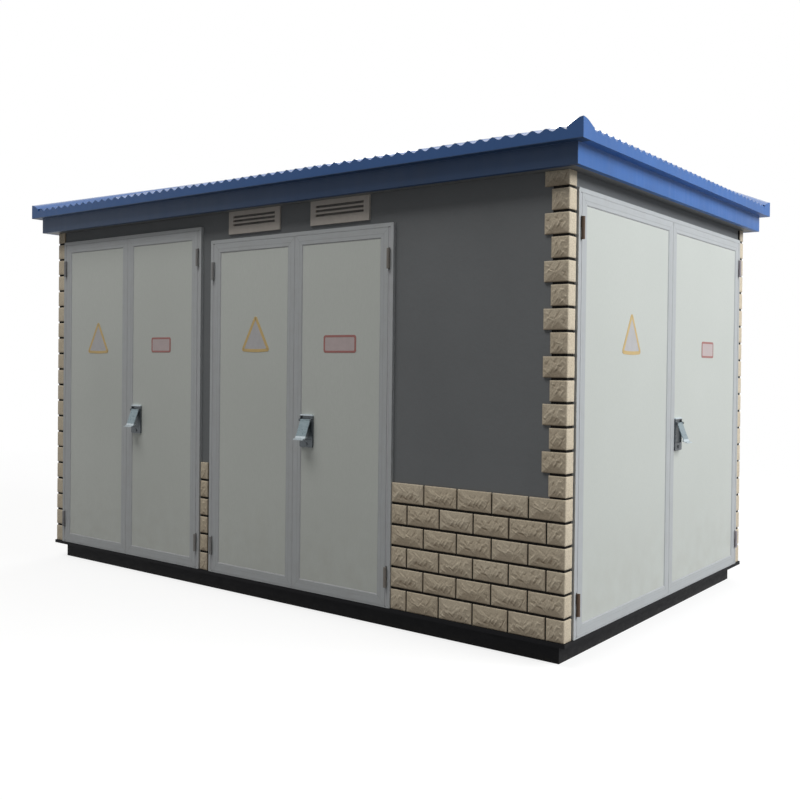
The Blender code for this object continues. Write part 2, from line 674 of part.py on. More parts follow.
def make_door(name, width, height, location, turn):
    """A frame and its pair of leaves, modelled facing -Y from the doorway's lower left corner."""
    door = add_axis(name, location, turn=turn)
    outer = (SEAT, width - SEAT, SEAT, height - SEAT)
    axis_inset = SEAT + FRAME_FACE + EDGE_GAP / 2
    leaf_inset = SEAT + FRAME_FACE + EDGE_GAP
    frame = add_object(name + "_frame", frame_ring(outer), aluminium, door)
    rows = hinge_heights(height)
    knuckles = bmesh.new()
    add_knuckles(knuckles, axis_inset, rows, False, -FLAG_LENGTH)
    add_knuckles(knuckles, width - axis_inset, rows, False, FLAG_LENGTH)
    combine(frame, add_tool("fuse_" + name, knuckles, aluminium, door), "UNION")
    seam = width / 2
    heights = (SEAT + THRESHOLD_FACE + LEAF_PLAY, height - SEAT - FRAME_FACE - LEAF_PLAY)
    make_leaf(name + "_left", (leaf_inset, seam - SEAM_GAP / 2), axis_inset, heights, rows, door, False)
    make_leaf(name + "_right", (seam + SEAM_GAP / 2, width - leaf_inset), width - axis_inset, heights, rows,
              door, True)


def make_doors():
    make_door("door_1", DOORWAY_1_WIDTH, TALL_DOOR_HEIGHT, (doorway_1[0], door_plane, wall_foot), 0.0)
    make_door("door_2", DOORWAY_2_WIDTH, low_door_height, (doorway_2[0], door_plane, wall_foot), 0.0)
    make_door("end_door", end_doorway[1] - end_doorway[0], TALL_DOOR_HEIGHT,
              (right_face + BRICK_THICKNESS, end_doorway[0], wall_foot), math.pi / 2)


clear_scene()
black_paint = make_material("black_paint", (0.012, 0.012, 0.013), 0.45)
wall_paint = make_material("wall_paint", (0.165, 0.172, 0.18), 0.75)
brick = make_material("brick", (0.56, 0.47, 0.35), 0.85)
blue_paint = make_material("blue_paint", (0.045, 0.13, 0.40), 0.35)
panel_paint = make_material("panel_paint", (0.60, 0.62, 0.59), 0.5)
aluminium = make_material("aluminium", (0.55, 0.58, 0.63), 0.4, 0.6)
vent_aluminium = make_material("vent_aluminium", (0.50, 0.46, 0.42), 0.5)
zinc = make_material("zinc", (0.42, 0.48, 0.52), 0.3, 0.9)

make_base()
make_walls()
make_vents()
make_cladding()
make_eaves()
make_roof()
make_doors()
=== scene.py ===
import json
import math

import bmesh
import bpy
import numpy as np
from mathutils import Matrix, Vector

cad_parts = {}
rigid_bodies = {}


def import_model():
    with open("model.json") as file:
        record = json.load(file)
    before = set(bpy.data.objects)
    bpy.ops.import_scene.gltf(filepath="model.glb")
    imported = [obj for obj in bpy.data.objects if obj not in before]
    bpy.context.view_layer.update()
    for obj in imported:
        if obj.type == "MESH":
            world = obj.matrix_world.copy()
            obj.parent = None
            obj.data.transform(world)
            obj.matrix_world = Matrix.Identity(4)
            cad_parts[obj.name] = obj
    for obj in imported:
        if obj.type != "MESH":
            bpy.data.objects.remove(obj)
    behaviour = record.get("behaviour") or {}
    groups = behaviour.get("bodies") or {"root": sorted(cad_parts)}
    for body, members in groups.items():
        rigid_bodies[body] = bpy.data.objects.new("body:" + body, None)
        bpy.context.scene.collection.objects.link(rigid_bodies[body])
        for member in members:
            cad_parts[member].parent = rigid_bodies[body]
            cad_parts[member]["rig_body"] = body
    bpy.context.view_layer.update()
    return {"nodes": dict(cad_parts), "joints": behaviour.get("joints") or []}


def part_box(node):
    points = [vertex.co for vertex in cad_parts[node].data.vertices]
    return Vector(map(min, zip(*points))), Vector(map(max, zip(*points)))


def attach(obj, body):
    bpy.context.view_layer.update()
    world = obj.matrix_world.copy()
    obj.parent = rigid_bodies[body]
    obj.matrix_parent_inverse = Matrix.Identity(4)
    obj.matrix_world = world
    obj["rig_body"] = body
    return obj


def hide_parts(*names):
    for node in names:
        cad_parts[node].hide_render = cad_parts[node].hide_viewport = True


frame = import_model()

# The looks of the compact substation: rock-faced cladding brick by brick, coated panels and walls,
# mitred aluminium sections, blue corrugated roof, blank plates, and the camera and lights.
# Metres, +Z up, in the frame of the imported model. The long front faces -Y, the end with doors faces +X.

STATIC = "enclosure"
DOORS = ("door_1", "door_2", "end_door")
HAIR = 0.0003               # gap that keeps two pieces apart

# Camera, solved from the photograph's edges
CAMERA_PLACE = Vector((4.415, -5.607, 1.510))
CAMERA_YAW = math.radians(-37.4)
CAMERA_PITCH = math.radians(-0.66)
CAMERA_ROLL = math.radians(0.635)
FOCAL_PIXELS = 957.5
FRAME_PIXELS = 800
HORIZON_SHIFT_PIXELS = -24.6
SENSOR_WIDTH = 36.0
FAR_CLIP = 200.0

# Lamps: place, target, size, power and colour
WHITE = (1.0, 1.0, 1.0)
LAMPS = {"key": ((11.0, 1.5, 7.5), (2.0, 0.0, 1.2), (6.0, 6.0), 1165.0, (0.970, 0.992, 1.0)),
         "back_fill": ((-5.0, 9.5, 6.5), (-0.5, 0.5, 1.2), (6.0, 5.0), 420.0, WHITE),
         "front_sky": ((-1.0, -6.5, 11.5), (0.0, -1.0, 1.2), (8.0, 4.0), 620.0, (1.0, 0.995, 0.970))}
WORLD_COLOUR = (1.0, 0.995, 0.975)
WORLD_STRENGTH = 0.15

# Floor and backdrop
FLOOR_SIZE = 60.0
FLOOR_DROP = 0.001
FLOOR_GREY = (0.25, 0.25, 0.25)
FLOOR_LIFT = 0.80           # brightness given to the floor where it is seen directly
FLOOR_STRETCH = 1.35        # of the round area that keeps the shadow, along X
FLOOR_FADE = (3.4, 8.5)     # from the middle to where the floor starts to fade and where it has faded

# Cladding
COURSE = 0.120
BRICK_PITCH = 0.220
HALF_BRICK = 0.1145
SHORTEST_BRICK = 0.03
JOINT = 0.0140
PERPEND = 0.009
DADO_COURSES = 6
CLADDING_THICKNESS = 0.020
BACKING_THICKNESS = 0.006
BACKING_SEAT = 0.0004       # from the wall to the filler
BACKING_TOP = 0.004         # from the filler to the top of the wall
BACKING_SIDE = 0.002        # from the filler to the free side of a return
TOOTH_SIDE = 0.006          # from the filler to the side of the shorter teeth
PIER_SIDE = 0.0005
QUOIN_SHORT = 0.107
QUOIN_LONG = 0.147
MARGIN_HEIGHT = 0.0105      # of a brick's edge above the wall
FACE_HEIGHT = 0.0125        # just inside the edge
EDGE_ROUND = 0.003          # width of the rounded edge
EDGE_STATION = 0.0014       # from the edge to the first row of points inside
PILLOW_RISE = 0.0052
PILLOW_RUN_SIDE = 0.052
PILLOW_RUN_LEVEL = 0.046
STROKES = 32                # in a mould
STROKE_LEVELS = (0.18, 0.80)    # in shares of a brick's height
STROKE_SLANTS = (30, 58)
STROKE_REACH = (0.010, 0.020)
STROKE_HALF_WIDTH = (0.0026, 0.0036)
STROKE_STRENGTH = (0.6, 1.0)
STROKE_HEIGHT = 0.0029
STROKE_FADE = 0.010         # from the rounded edge to the full height of the strokes
WAVER = 0.004               # of a stroke to its sides
WAVER_TURN = 90.0           # radians of it in a metre
MARK_SCALE = 0.0036         # turns the slope of the strokes up the brick into painted shade on their downward sides and painted highlight on their upward sides
EDGE_SHADE_WIDTH = 0.006           # width of the painted highlight on the top edge and the painted shade on the bottom edge
RETURN_RELIEF = 0.3         # share of the relief on the smooth returns beside the doors
RETURN_TINT = 0.86
NEAR_CELL = 0.0036
FAR_CELL = 0.0070
RETURN_CELL = 0.0065
RETURN_GROOVE = 0.010       # between a return and the door's frame
FAR_GROOVE = 0.026          # the same at the far end of the end face
MOULDS = 5
MOULD_SEED = 900

# Blank plates on the leaves, heights over the foot of the walls
TRIANGLE_BASE = 0.264
TRIANGLE_HEIGHT = 0.240
TRIANGLE_RIM = 0.020
TRIANGLE_CORNER = 0.016
TRIANGLE_BULGE = 0.004      # of its foot edge
SIGN_RISE = 1.449
SIGN_HEIGHT = 0.105
SIGN_RIM = 0.013
SIGN_CORNER = 0.015
PLATE_SEAT = 0.0001
PLATE_THICKNESS = 0.0015
PLATE_BEAD = 0.0005         # height of the rim over the middle
CORNER_STEPS = 6
BULGE_STEPS = 10
# For each door: the triangle's shift from the middle of its leaf and its height over the foot of the
# walls, then the plate's shift and width
SIGNS = {"door_1": (0.025, 1.444, -0.005, 0.207), "door_2": (0.023, 1.456, 0.000, 0.254),
         "end_door": (0.029, 1.456, 0.023, 0.214)}

# Leaves: from a panel's edge to the leaf's, and the gaps round the leaves
LEAF_STILE = 0.0503
LEAF_STEP = 0.033           # from the leaf's edge to the fine step along its section
HINGE_GAP = 0.014
LEVEL_GAP = 0.004

# Seals in the gaps of the doors
SEAL_RECESS = 0.0006        # behind the face of the leaf
SEAL_DEPTH = 0.012
SIDE_SEAL = 0.0130          # width, in the gap on the hinges' side
SEAM_SEAL = 0.0074
LEVEL_SEAL = 0.0034
SEAL_FACETS = 6
SEAL_CROWN = 0.0008         # of the rounded front over its edges
SEAL_CLEAR = 0.003          # over and under each hinge

# Glazing strips in the corner between a panel and the lip of the ring that holds it
LIP_OVER = 0.0057           # from the panel's edge to the edge of the lip
GLAZING_SEAT = 0.0002       # to the lip
GLAZING_WIDTH = 0.0040
GLAZING_HEIGHT = 0.0030

# Wire screens right behind the slots of the vents
SCREEN_WIDTH = 0.385
SCREEN_HEIGHT = 0.074
SCREEN_RISE = 0.012         # of its middle over the plate's
WIRE_SPACING = 0.0040
WIRE_WIDTH = 0.0016
WIRE_THICKNESS = 0.0005

# Roof edge: thin trim over the band and the ends of the waves, up over the ends of the hip caps
TRIM_THICKNESS = 0.0012
TRIM_OVER = 0.0010          # over the sheet's crests
TRIM_FOOT = 0.0002          # over the foot of the band
TRIM_SIDE = 0.0005          # past the end sheets
TRIM_STEPS = 8              # in each wave
BAND_HEIGHT = 0.0380
BOARD = 0.010               # under the troughs of the sheets
WAVE_PITCH = 0.076
WAVE_DEPTH = 0.018
HIP_RUN = 1.000             # from the end eaves to the end of the ridge
CAP_HALF_WIDTH = 0.060
CAP_REACH = 1.15            # of the trim's rise at a cap, in half widths of the cap
CAP_RISE = 0.0035
CAP_CROWN = 0.032
SOFFIT_EDGE = 0.066         # from the wall to the blue edge of the soffit
FASCIA = 0.109              # height of the fascia over the soffit

# Shading: degrees from which a fold stays sharp, and how copies of nodes are cleaned and rounded
SHARP_BRICK = 38.0
SHARP_SHEET = 38.0
SHARP_CAP = 30.0
SHARP_EAVES = 35.0
MERGE_DISTANCE = 0.00002
FLAT_FOLD = 0.5             # degrees under which facets become one
ROUNDED_FOLD = 40.0         # degrees over which folds are rounded
EAVES_ROUND = 0.002

# Hinges: middles over the frame's foot and under its head, and the span that is dark iron
HINGE_RISE = 0.175
HINGE_DROP = 0.203
HINGE_REACH = 0.0105
HINGE_SLOT = 0.0069         # half width of the gap that the flags stand in
HINGE_HALF_LENGTH = 0.0585
# Colours of the left and right hinges of each door
HINGE_IRON = {"door_1": ((0.290, 0.290, 0.305), (0.290, 0.285, 0.280)),
              "door_2": ((0.290, 0.290, 0.290), (0.265, 0.245, 0.225)),
              "end_door": ((0.125, 0.084, 0.062), (0.400, 0.365, 0.390))}

# Parts of the latches given a painted highlight of pale zinc: the lever's lip, over its lowest point, and the
# plate's top edge
LIP_RISE = 0.021
LIP_BLEND = 0.004
LATCH_HIGHLIGHT = (0.009, 0.007)


class Tree:
    """A node tree, built with short calls. Sockets take a link or a plain value."""

    def __init__(self, tree):
        self.tree = tree

    def node(self, kind, **settings):
        made = self.tree.nodes.new(kind)
        for key, value in settings.items():
            setattr(made, key, value)
        return made

    def join(self, value, socket):
        if isinstance(value, bpy.types.NodeSocket):
            self.tree.links.new(value, socket)
        elif value is not None:
            socket.default_value = value

    def math(self, operation, *values):
        made = self.node("ShaderNodeMath", operation=operation)
        for value, socket in zip(values, made.inputs):
            self.join(value, socket)
        return made.outputs[0]

    def times(self, a, b):
        return self.math("MULTIPLY", a, b)

    def minus(self, a, b):
        return self.math("SUBTRACT", a, b)

    def larger(self, a, b):
        return self.math("MAXIMUM", a, b)

    def seen_directly(self):
        """1 for rays from the camera and for those mirrored or let through by a surface."""
        rays = self.node("ShaderNodeLightPath").outputs
        return self.larger(self.larger(rays["Is Camera Ray"], rays["Is Glossy Ray"]),
                           rays["Is Transmission Ray"])

    def show(self, factor, near, far, output):
        """Sends a mix of two shaders to the output."""
        mix = self.node("ShaderNodeMixShader")
        for value, socket in zip((factor, near.outputs[0], far.outputs[0]), mix.inputs):
            self.join(value, socket)
        self.join(mix.outputs[0], self.tree.nodes[output].inputs[0])


class Graph(Tree):
    """A material with one surface shader, its looks placed in metres of the frame."""

    def __init__(self, name, roughness, specular=0.5, metallic=0.0):
        self.material = bpy.data.materials.new(name)
        self.material.use_nodes = True
        super().__init__(self.material.node_tree)
        self.shader = self.tree.nodes["Principled BSDF"]
        self.shader.inputs["Metallic"].default_value = metallic
        self.shader.inputs["Specular IOR Level"].default_value = specular
        self.shader.inputs["Roughness"].default_value = roughness
        self.place = self.node("ShaderNodeTexCoord").outputs["Object"]
        self.height = None

    def away(self, value, place):
        """Distance of a value from a place."""
        return self.math("ABSOLUTE", self.minus(value, place))

    def near(self, value, places, reach):
        """1 within reach of one of the places."""
        found = 0.0
        for place in places:
            found = self.larger(found, self.math("LESS_THAN", self.away(value, place), reach))
        return found

    def axis(self, name, place=None):
        split = self.node("ShaderNodeSeparateXYZ")
        self.join(self.place if place is None else place, split.inputs[0])
        return split.outputs[name]

    def noise(self, scale, detail=2.0, roughness=0.5):
        """Noise with a feature size of one over scale, in metres. Scale may differ along X, Y and Z."""
        mapping = self.node("ShaderNodeMapping")
        self.join(self.place, mapping.inputs["Vector"])
        self.join(scale if isinstance(scale, tuple) else (scale, scale, scale), mapping.inputs["Scale"])
        made = self.node("ShaderNodeTexNoise")
        for name, value in (("Vector", mapping.outputs[0]), ("Scale", 1.0), ("Detail", detail),
                            ("Roughness", roughness)):
            self.join(value, made.inputs[name])
        return made.outputs["Fac"]

    def span(self, value, low, high, to_low=0.0, to_high=1.0):
        """Maps low to high onto to_low to to_high, and holds the ends."""
        made = self.node("ShaderNodeMapRange", clamp=True)
        for number, entry in enumerate((value, low, high, to_low, to_high)):
            self.join(entry, made.inputs[number])
        return made.outputs[0]

    def even(self, noise, to_low=0.0, to_high=1.0):
        """Spreads the middle of a noise over a span."""
        return self.span(noise, 0.3, 0.7, to_low, to_high)

    def blend(self, factor, a, b):
        """Mixes two colours, each a link or red, green and blue."""
        made = self.node("ShaderNodeMix", data_type="RGBA")
        self.join(factor, made.inputs["Factor"])
        for entry, socket in ((a, made.inputs[6]), (b, made.inputs[7])):
            self.join((*entry, 1.0) if isinstance(entry, tuple) else entry, socket)
        return made.outputs[2]

    def raise_by(self, value, distance):
        """Adds a height to the bump. Distance is the full depth in metres."""
        made = self.node("ShaderNodeBump")
        self.join(value, made.inputs["Height"])
        self.join(distance, made.inputs["Distance"])
        if self.height is not None:
            self.join(self.height, made.inputs["Normal"])
        self.height = made.outputs[0]

    def finish(self, colour, roughness=None):
        self.join(colour, self.shader.inputs["Base Color"])
        self.join(roughness, self.shader.inputs["Roughness"])
        self.join(self.height, self.shader.inputs["Normal"])
        return self.material


def shade(colour, factor):
    return tuple(channel * factor for channel in colour)


def mottled(name, cloud, pair, grain, height, matt, specular=0.3, metallic=0.0, marks=None):
    """A finish clouded between two colours, with a fine relief.

    cloud and grain are the settings of two noises. matt is the roughness, or its two ends. marks changes
    the colour, given the graph and the colour.
    """
    g = Graph(name, matt if isinstance(matt, float) else matt[0], specular, metallic)
    clouding = g.noise(*cloud)
    colour = g.blend(g.even(clouding), *pair)
    if marks:
        colour = marks(g, colour)
    g.raise_by(g.noise(*grain), height)
    return g.finish(colour, None if isinstance(matt, float) else g.even(clouding, *matt))


def zinc(name, dull, bright, highlight_span):
    """Zinc plate of the latches, with a painted highlight of pale zinc from the first level to the second."""
    return mottled(name, (90.0, 4.0, 0.6), (dull, bright), ((800.0, 800.0, 90.0), 2.0), 0.00005,
                   (0.24, 0.42), 0.4, 0.40,
                   # Painted highlight: pale zinc between the two levels.
                   lambda g, colour: g.blend(g.span(g.axis("Z"), *highlight_span), colour, (0.58, 0.65, 0.69)))


def vent_coating(name, dull, pale):
    """Coating of the louvre plates and of the wires behind their slots."""
    return mottled(name, (18.0, 4.0, 0.6), (dull, pale), (500.0, 2.0), 0.0002, (0.45, 0.6))


def enamel(name, colour):
    """Printed enamel of the blank plates, faintly faded and specked."""
    def specks(g, made):
        return g.blend(g.span(g.noise(500.0, 2.0), 0.66, 0.8, 0.0, 0.3), made, shade(colour, 0.7))

    fading = (24.0, 4.0, 0.6)
    return mottled(name, fading, (shade(colour, 0.94), shade(colour, 1.06)), fading, 0.0004, (0.32, 0.5),
                   0.5, marks=specks)


def wall_coating():
    """Matt grey coating with a fine stipple and faint clouding."""
    g = Graph("wall_coating", 0.8, 0.3)
    base = (0.168, 0.176, 0.184)
    stipple = g.noise(420.0, 2.0, 0.6)
    colour = g.blend(g.even(g.noise(1.6, 4.0, 0.6)), shade(base, 0.93), shade(base, 1.07))
    colour = g.blend(g.span(stipple, 0.35, 0.75, 0.0, 0.35), colour, shade(base, 1.35))
    g.raise_by(stipple, 0.0006)
    g.raise_by(g.noise(38.0, 3.0), 0.0009)
    return g.finish(colour, g.even(stipple, 0.72, 0.88))


def panel_coating():
    """Off-white coating on the door panels, embossed with fine upright fibres, splashed near its foot."""
    g = Graph("panel_coating", 0.5, 0.4)
    base = (0.600, 0.625, 0.592)
    upright = g.noise((520.0, 520.0, 38.0), 3.0, 0.6)
    level = g.noise((120.0, 120.0, 640.0), 2.0, 0.5)
    cloud = g.noise(1.3, 3.0)
    weave = g.math("ADD", g.times(upright, 0.65), g.times(level, 0.35))
    colour = g.blend(g.span(weave, 0.36, 0.64), shade(base, 0.95), shade(base, 1.045))
    colour = g.blend(g.even(cloud, 0.0, 0.5), colour, shade(base, 0.96))
    splash = g.times(g.span(g.axis("Z"), 0.18, 0.75, 1.0, 0.0), g.span(g.noise(9.0, 4.0), 0.35, 0.7))
    colour = g.blend(g.times(splash, 0.16), colour, (0.36, 0.33, 0.27))
    g.raise_by(weave, 0.0005)
    return g.finish(colour, g.even(cloud, 0.42, 0.56))


def section_metal(name, rectangle, door, pins, heights, irons, step=None):
    """Satin aluminium of a mitred ring: grain along each length, a fine line at each mitre, hinges.

    rectangle is (low, high, foot, head) along the wall's axis and up; pins and heights are the places of
    the hinges; irons are their colours left and right of the middle. A step is a fine line that far inside, a
    painted shade with a small bump.
    """
    along, through, face, outward = door_plane(door)
    low, high, foot, head = rectangle
    g = Graph(name, 0.42, 0.25)
    base = (0.498, 0.518, 0.533)
    across = g.axis(along)
    up = g.axis("Z")
    inset_side = g.minus((high - low) / 2, g.away(across, (low + high) / 2))
    inset_level = g.minus((head - foot) / 2, g.away(up, (foot + head) / 2))
    difference = g.minus(inset_side, inset_level)
    is_upright = g.math("LESS_THAN", difference, 0.0)
    grain = g.math("ADD", g.times(g.noise((300.0, 300.0, 5.0), 3.0, 0.6), is_upright),
                   g.times(g.noise((5.0, 5.0, 300.0), 3.0, 0.6), g.minus(1.0, is_upright)))
    mitre = g.span(g.math("ABSOLUTE", difference), 0.0003, 0.0016, 1.0, 0.0)
    grime = g.span(g.noise(14.0, 4.0, 0.65), 0.45, 0.75)
    colour = g.blend(g.even(grain), shade(base, 0.93), shade(base, 1.06))
    colour = g.blend(g.times(grime, 0.22), colour, (0.40, 0.39, 0.37))
    colour = g.blend(g.times(mitre, 0.40), colour, (0.16, 0.16, 0.17))
    if step:
        inset = g.math("MINIMUM", inset_side, inset_level)
        # Painted shade: the line at the step is darker.
        line = g.span(g.away(inset, step), 0.0008, 0.0026, 1.0, 0.0)
        colour = g.blend(g.times(line, 0.26), colour, (0.27, 0.28, 0.29))
        g.raise_by(g.span(inset, step - 0.0012, step + 0.0012, 1.0, 0.0), 0.0005)
    g.raise_by(grain, 0.0001)
    g.raise_by(g.minus(1.0, mitre), 0.0006)
    proud = g.math("GREATER_THAN", g.times(g.minus(g.axis(through), face), outward), 0.0002)
    is_hinge = g.times(g.near(across, pins, HINGE_REACH), g.near(up, heights, HINGE_HALF_LENGTH))
    is_hinge = g.times(is_hinge, g.larger(proud, g.near(across, pins, HINGE_SLOT)))
    iron = g.blend(g.math("GREATER_THAN", across, (low + high) / 2), *irons)
    iron = g.blend(g.span(g.noise(160.0, 4.0, 0.7), 0.40, 0.70, 0.0, 0.22), iron, (0.130, 0.090, 0.064))
    colour = g.blend(is_hinge, colour, iron)
    return g.finish(colour, g.math("ADD", g.even(grain, 0.36, 0.50), g.times(is_hinge, 0.25)))


def blue_paint(name, smoothest, roughest, coat, soffit=None):
    """Blue coated sheet with faint streaks and pale dust. A soffit is dark grey up to its outer edge, and
    the faces towards the front over it carry a painted shade of dark grey, heaviest on the fascia under the
    band and lighter towards the left.

    soffit is the half length and half width of the walls, and the level of the soffit.
    """
    g = Graph(name, 0.4, 0.35)
    g.join(coat, g.shader.inputs["Coat Weight"])
    g.join(0.08, g.shader.inputs["Coat Roughness"])
    base = (0.036, 0.134, 0.405)
    cloud = g.noise(2.4, 4.0, 0.6)
    streak = g.noise((22.0, 22.0, 1.5), 3.0, 0.6)
    dust = g.noise(240.0, 3.0, 0.7)
    colour = g.blend(g.even(cloud), shade(base, 0.90), shade(base, 1.10))
    colour = g.blend(g.span(streak, 0.5, 0.8, 0.0, 0.18), colour, (0.075, 0.180, 0.450))
    colour = g.blend(g.span(dust, 0.62, 0.85, 0.0, 0.25), colour, (0.15, 0.24, 0.44))
    if soffit:
        half_x, half_y, level = soffit
        x, y, z = (g.axis(name) for name in "XYZ")
        out = g.larger(g.minus(g.math("ABSOLUTE", x), half_x), g.minus(g.math("ABSOLUTE", y), half_y))
        inner = g.times(g.span(out, SOFFIT_EDGE, SOFFIT_EDGE + 0.004, 1.0, 0.0),
                        g.math("LESS_THAN", z, level + 0.0004))
        colour = g.blend(inner, colour, (0.125, 0.128, 0.132))
        # Painted shade on the front: faces towards the front, and undersides in front of the soffit's edge,
        # darkened most on the fascia under the band and less towards the left.
        normal = g.node("ShaderNodeTexCoord").outputs["Normal"]
        before_edge = g.math("GREATER_THAN", g.minus(g.times(y, -1.0), half_y), SOFFIT_EDGE)
        under_front = g.times(before_edge, g.span(g.axis("Z", normal), -0.6, -0.3, 1.0, 0.0))
        facing = g.larger(g.span(g.axis("Y", normal), -0.5, -0.2, 1.0, 0.0), under_front)
        leftward = g.span(x, -1.9, 0.6, 1.0, 0.0)
        amount = g.times(facing, g.span(z, level + FASCIA + 0.001, level + FASCIA + 0.006, 0.76, 0.36))
        amount = g.times(amount, g.even(cloud, 0.92, 1.06))
        amount = g.times(amount, g.minus(1.0, g.times(leftward, 0.18)))
        colour = g.blend(amount, colour, g.blend(leftward, (0.010, 0.014, 0.010), (0.060, 0.060, 0.024)))
    g.raise_by(cloud, 0.0012)
    g.raise_by(dust, 0.0001)
    return g.finish(colour, g.span(streak, 0.3, 0.8, smoothest, roughest))


def black_paint():
    """Black paint on the channel base, dusty near the ground and scuffed."""
    g = Graph("black_coating", 0.6, 0.1)
    scuff = g.noise((14.0, 14.0, 60.0), 5.0, 0.7)
    dust = g.times(g.span(g.noise(26.0, 4.0, 0.65), 0.4, 0.7), 0.5)
    colour = g.blend(g.span(scuff, 0.35, 0.7), (0.0055, 0.0055, 0.0068), (0.0115, 0.0115, 0.0130))
    colour = g.blend(g.times(g.span(g.axis("Z"), 0.0, 0.05, 1.0, 0.0), dust), colour, (0.045, 0.042, 0.038))
    g.raise_by(g.noise(300.0, 3.0), 0.0004)
    g.raise_by(g.noise(12.0, 3.0), 0.0010)
    return g.finish(colour, g.even(scuff, 0.52, 0.72))


def brick_face():
    """Beige rock-faced cladding: sandy grain, each brick a little different, and painted shade from the
    relief attribute: browner in the hollows and on the lower slopes, paler on ridges and top edges.
    """
    g = Graph("brick_face", 0.85, 0.25)
    tone = g.node("ShaderNodeAttribute", attribute_name="tone").outputs["Fac"]
    relief = g.node("ShaderNodeAttribute", attribute_name="relief").outputs["Fac"]
    sand = g.noise(620.0, 3.0, 0.7)
    patch = g.noise(34.0, 4.0, 0.6)
    mottle = g.noise(130.0, 3.0, 0.65)
    pale = g.blend(tone, (0.880, 0.768, 0.594), (0.925, 0.822, 0.652))
    deep = g.blend(tone, (0.225, 0.162, 0.108), (0.262, 0.192, 0.130))
    # relief carries the painted shade and light of each point, from deep to pale.
    colour = g.blend(relief, deep, pale)
    colour = g.blend(g.span(patch, 0.45, 0.7, 0.0, 0.16), colour, (0.760, 0.668, 0.500))
    colour = g.blend(g.span(mottle, 0.34, 0.56, 0.30, 0.0), colour, deep)
    colour = g.blend(g.span(sand, 0.3, 0.55, 0.34, 0.0), colour, (0.300, 0.228, 0.160))
    g.raise_by(patch, 0.0012)
    g.raise_by(mottle, 0.0014)
    g.raise_by(sand, 0.0009)
    return g.finish(colour, g.even(sand, 0.78, 0.94))


def add_piece(name, mesh, materials, body):
    for material in materials:
        mesh.materials.append(material)
    made = bpy.data.objects.new(name, mesh)
    bpy.context.scene.collection.objects.link(made)
    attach(made, body)
    return made


def mesh_of(bm, name):
    mesh = bpy.data.meshes.new(name)
    bm.to_mesh(mesh)
    bm.free()
    return mesh


def add_solid(name, bm, materials, body):
    """A piece from a closed mesh, its faces turned outwards."""
    bmesh.ops.recalc_face_normals(bm, faces=bm.faces[:])
    return add_piece(name, mesh_of(bm, name), materials, body)


def stitch(bm, rings):
    """Quads between each ring of vertices and the next."""
    made = []
    for near, far in zip(rings, rings[1:]):
        for index in range(len(near)):
            following = (index + 1) % len(near)
            made.append(bm.faces.new((near[index], near[following], far[following], far[index])))
    return made


def add_bar(bm, low, high):
    made = bmesh.ops.create_cube(bm, size=1.0)
    bmesh.ops.scale(bm, vec=Vector(high) - Vector(low), verts=made["verts"])
    bmesh.ops.translate(bm, vec=(Vector(low) + Vector(high)) / 2, verts=made["verts"])


def dress(node, material):
    """Gives a node of the frame its finish."""
    mesh = frame["nodes"][node].data
    mesh.materials.clear()
    mesh.materials.append(material)


def rounded_copy(node, material, sharp, bevel=0.0):
    """Stands for a node with the same form, its facets shaded smooth and its folds rounded."""
    source = frame["nodes"][node]
    bm = bmesh.new()
    bm.from_mesh(source.data)
    bmesh.ops.remove_doubles(bm, verts=bm.verts[:], dist=MERGE_DISTANCE)
    bmesh.ops.dissolve_limit(bm, angle_limit=math.radians(FLAT_FOLD), verts=bm.verts[:], edges=bm.edges[:])
    mesh = mesh_of(bm, node + "_finished")
    mesh.shade_smooth()
    mesh.set_sharp_from_angle(angle=math.radians(sharp))
    piece = add_piece(node + "_finished", mesh, [material], source["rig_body"])
    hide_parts(node)
    if bevel:
        fold = piece.modifiers.new("fold", "BEVEL")
        fold.width = bevel
        fold.segments = 2
        fold.limit_method = "ANGLE"
        fold.angle_limit = math.radians(ROUNDED_FOLD)
        fold.harden_normals = True


def stroke_field(rng, width, height):
    """Chisel strokes of one mould: short ridges that slant down towards the brick's middle, and some astray.

    Each is its middle across and up, its slant, its reach, its half width and its height.
    """
    strokes = []
    for index in range(STROKES):
        across = (index + rng.uniform(0.1, 0.9)) / STROKES
        centre = (across * width, rng.uniform(*STROKE_LEVELS) * height)
        inward = -1 if across < 0.5 else 1
        slant = inward * rng.choice((1, 1, 1, 1, -1)) * math.radians(rng.uniform(*STROKE_SLANTS))
        strokes.append((*centre, slant, rng.uniform(*STROKE_REACH), rng.uniform(*STROKE_HALF_WIDTH),
                        rng.uniform(*STROKE_STRENGTH) * rng.choice((1.0, 1.0, -0.9))))
    return strokes


moulds = [stroke_field(np.random.default_rng(MOULD_SEED + index), BRICK_PITCH - JOINT, COURSE - JOINT)
          for index in range(MOULDS)]


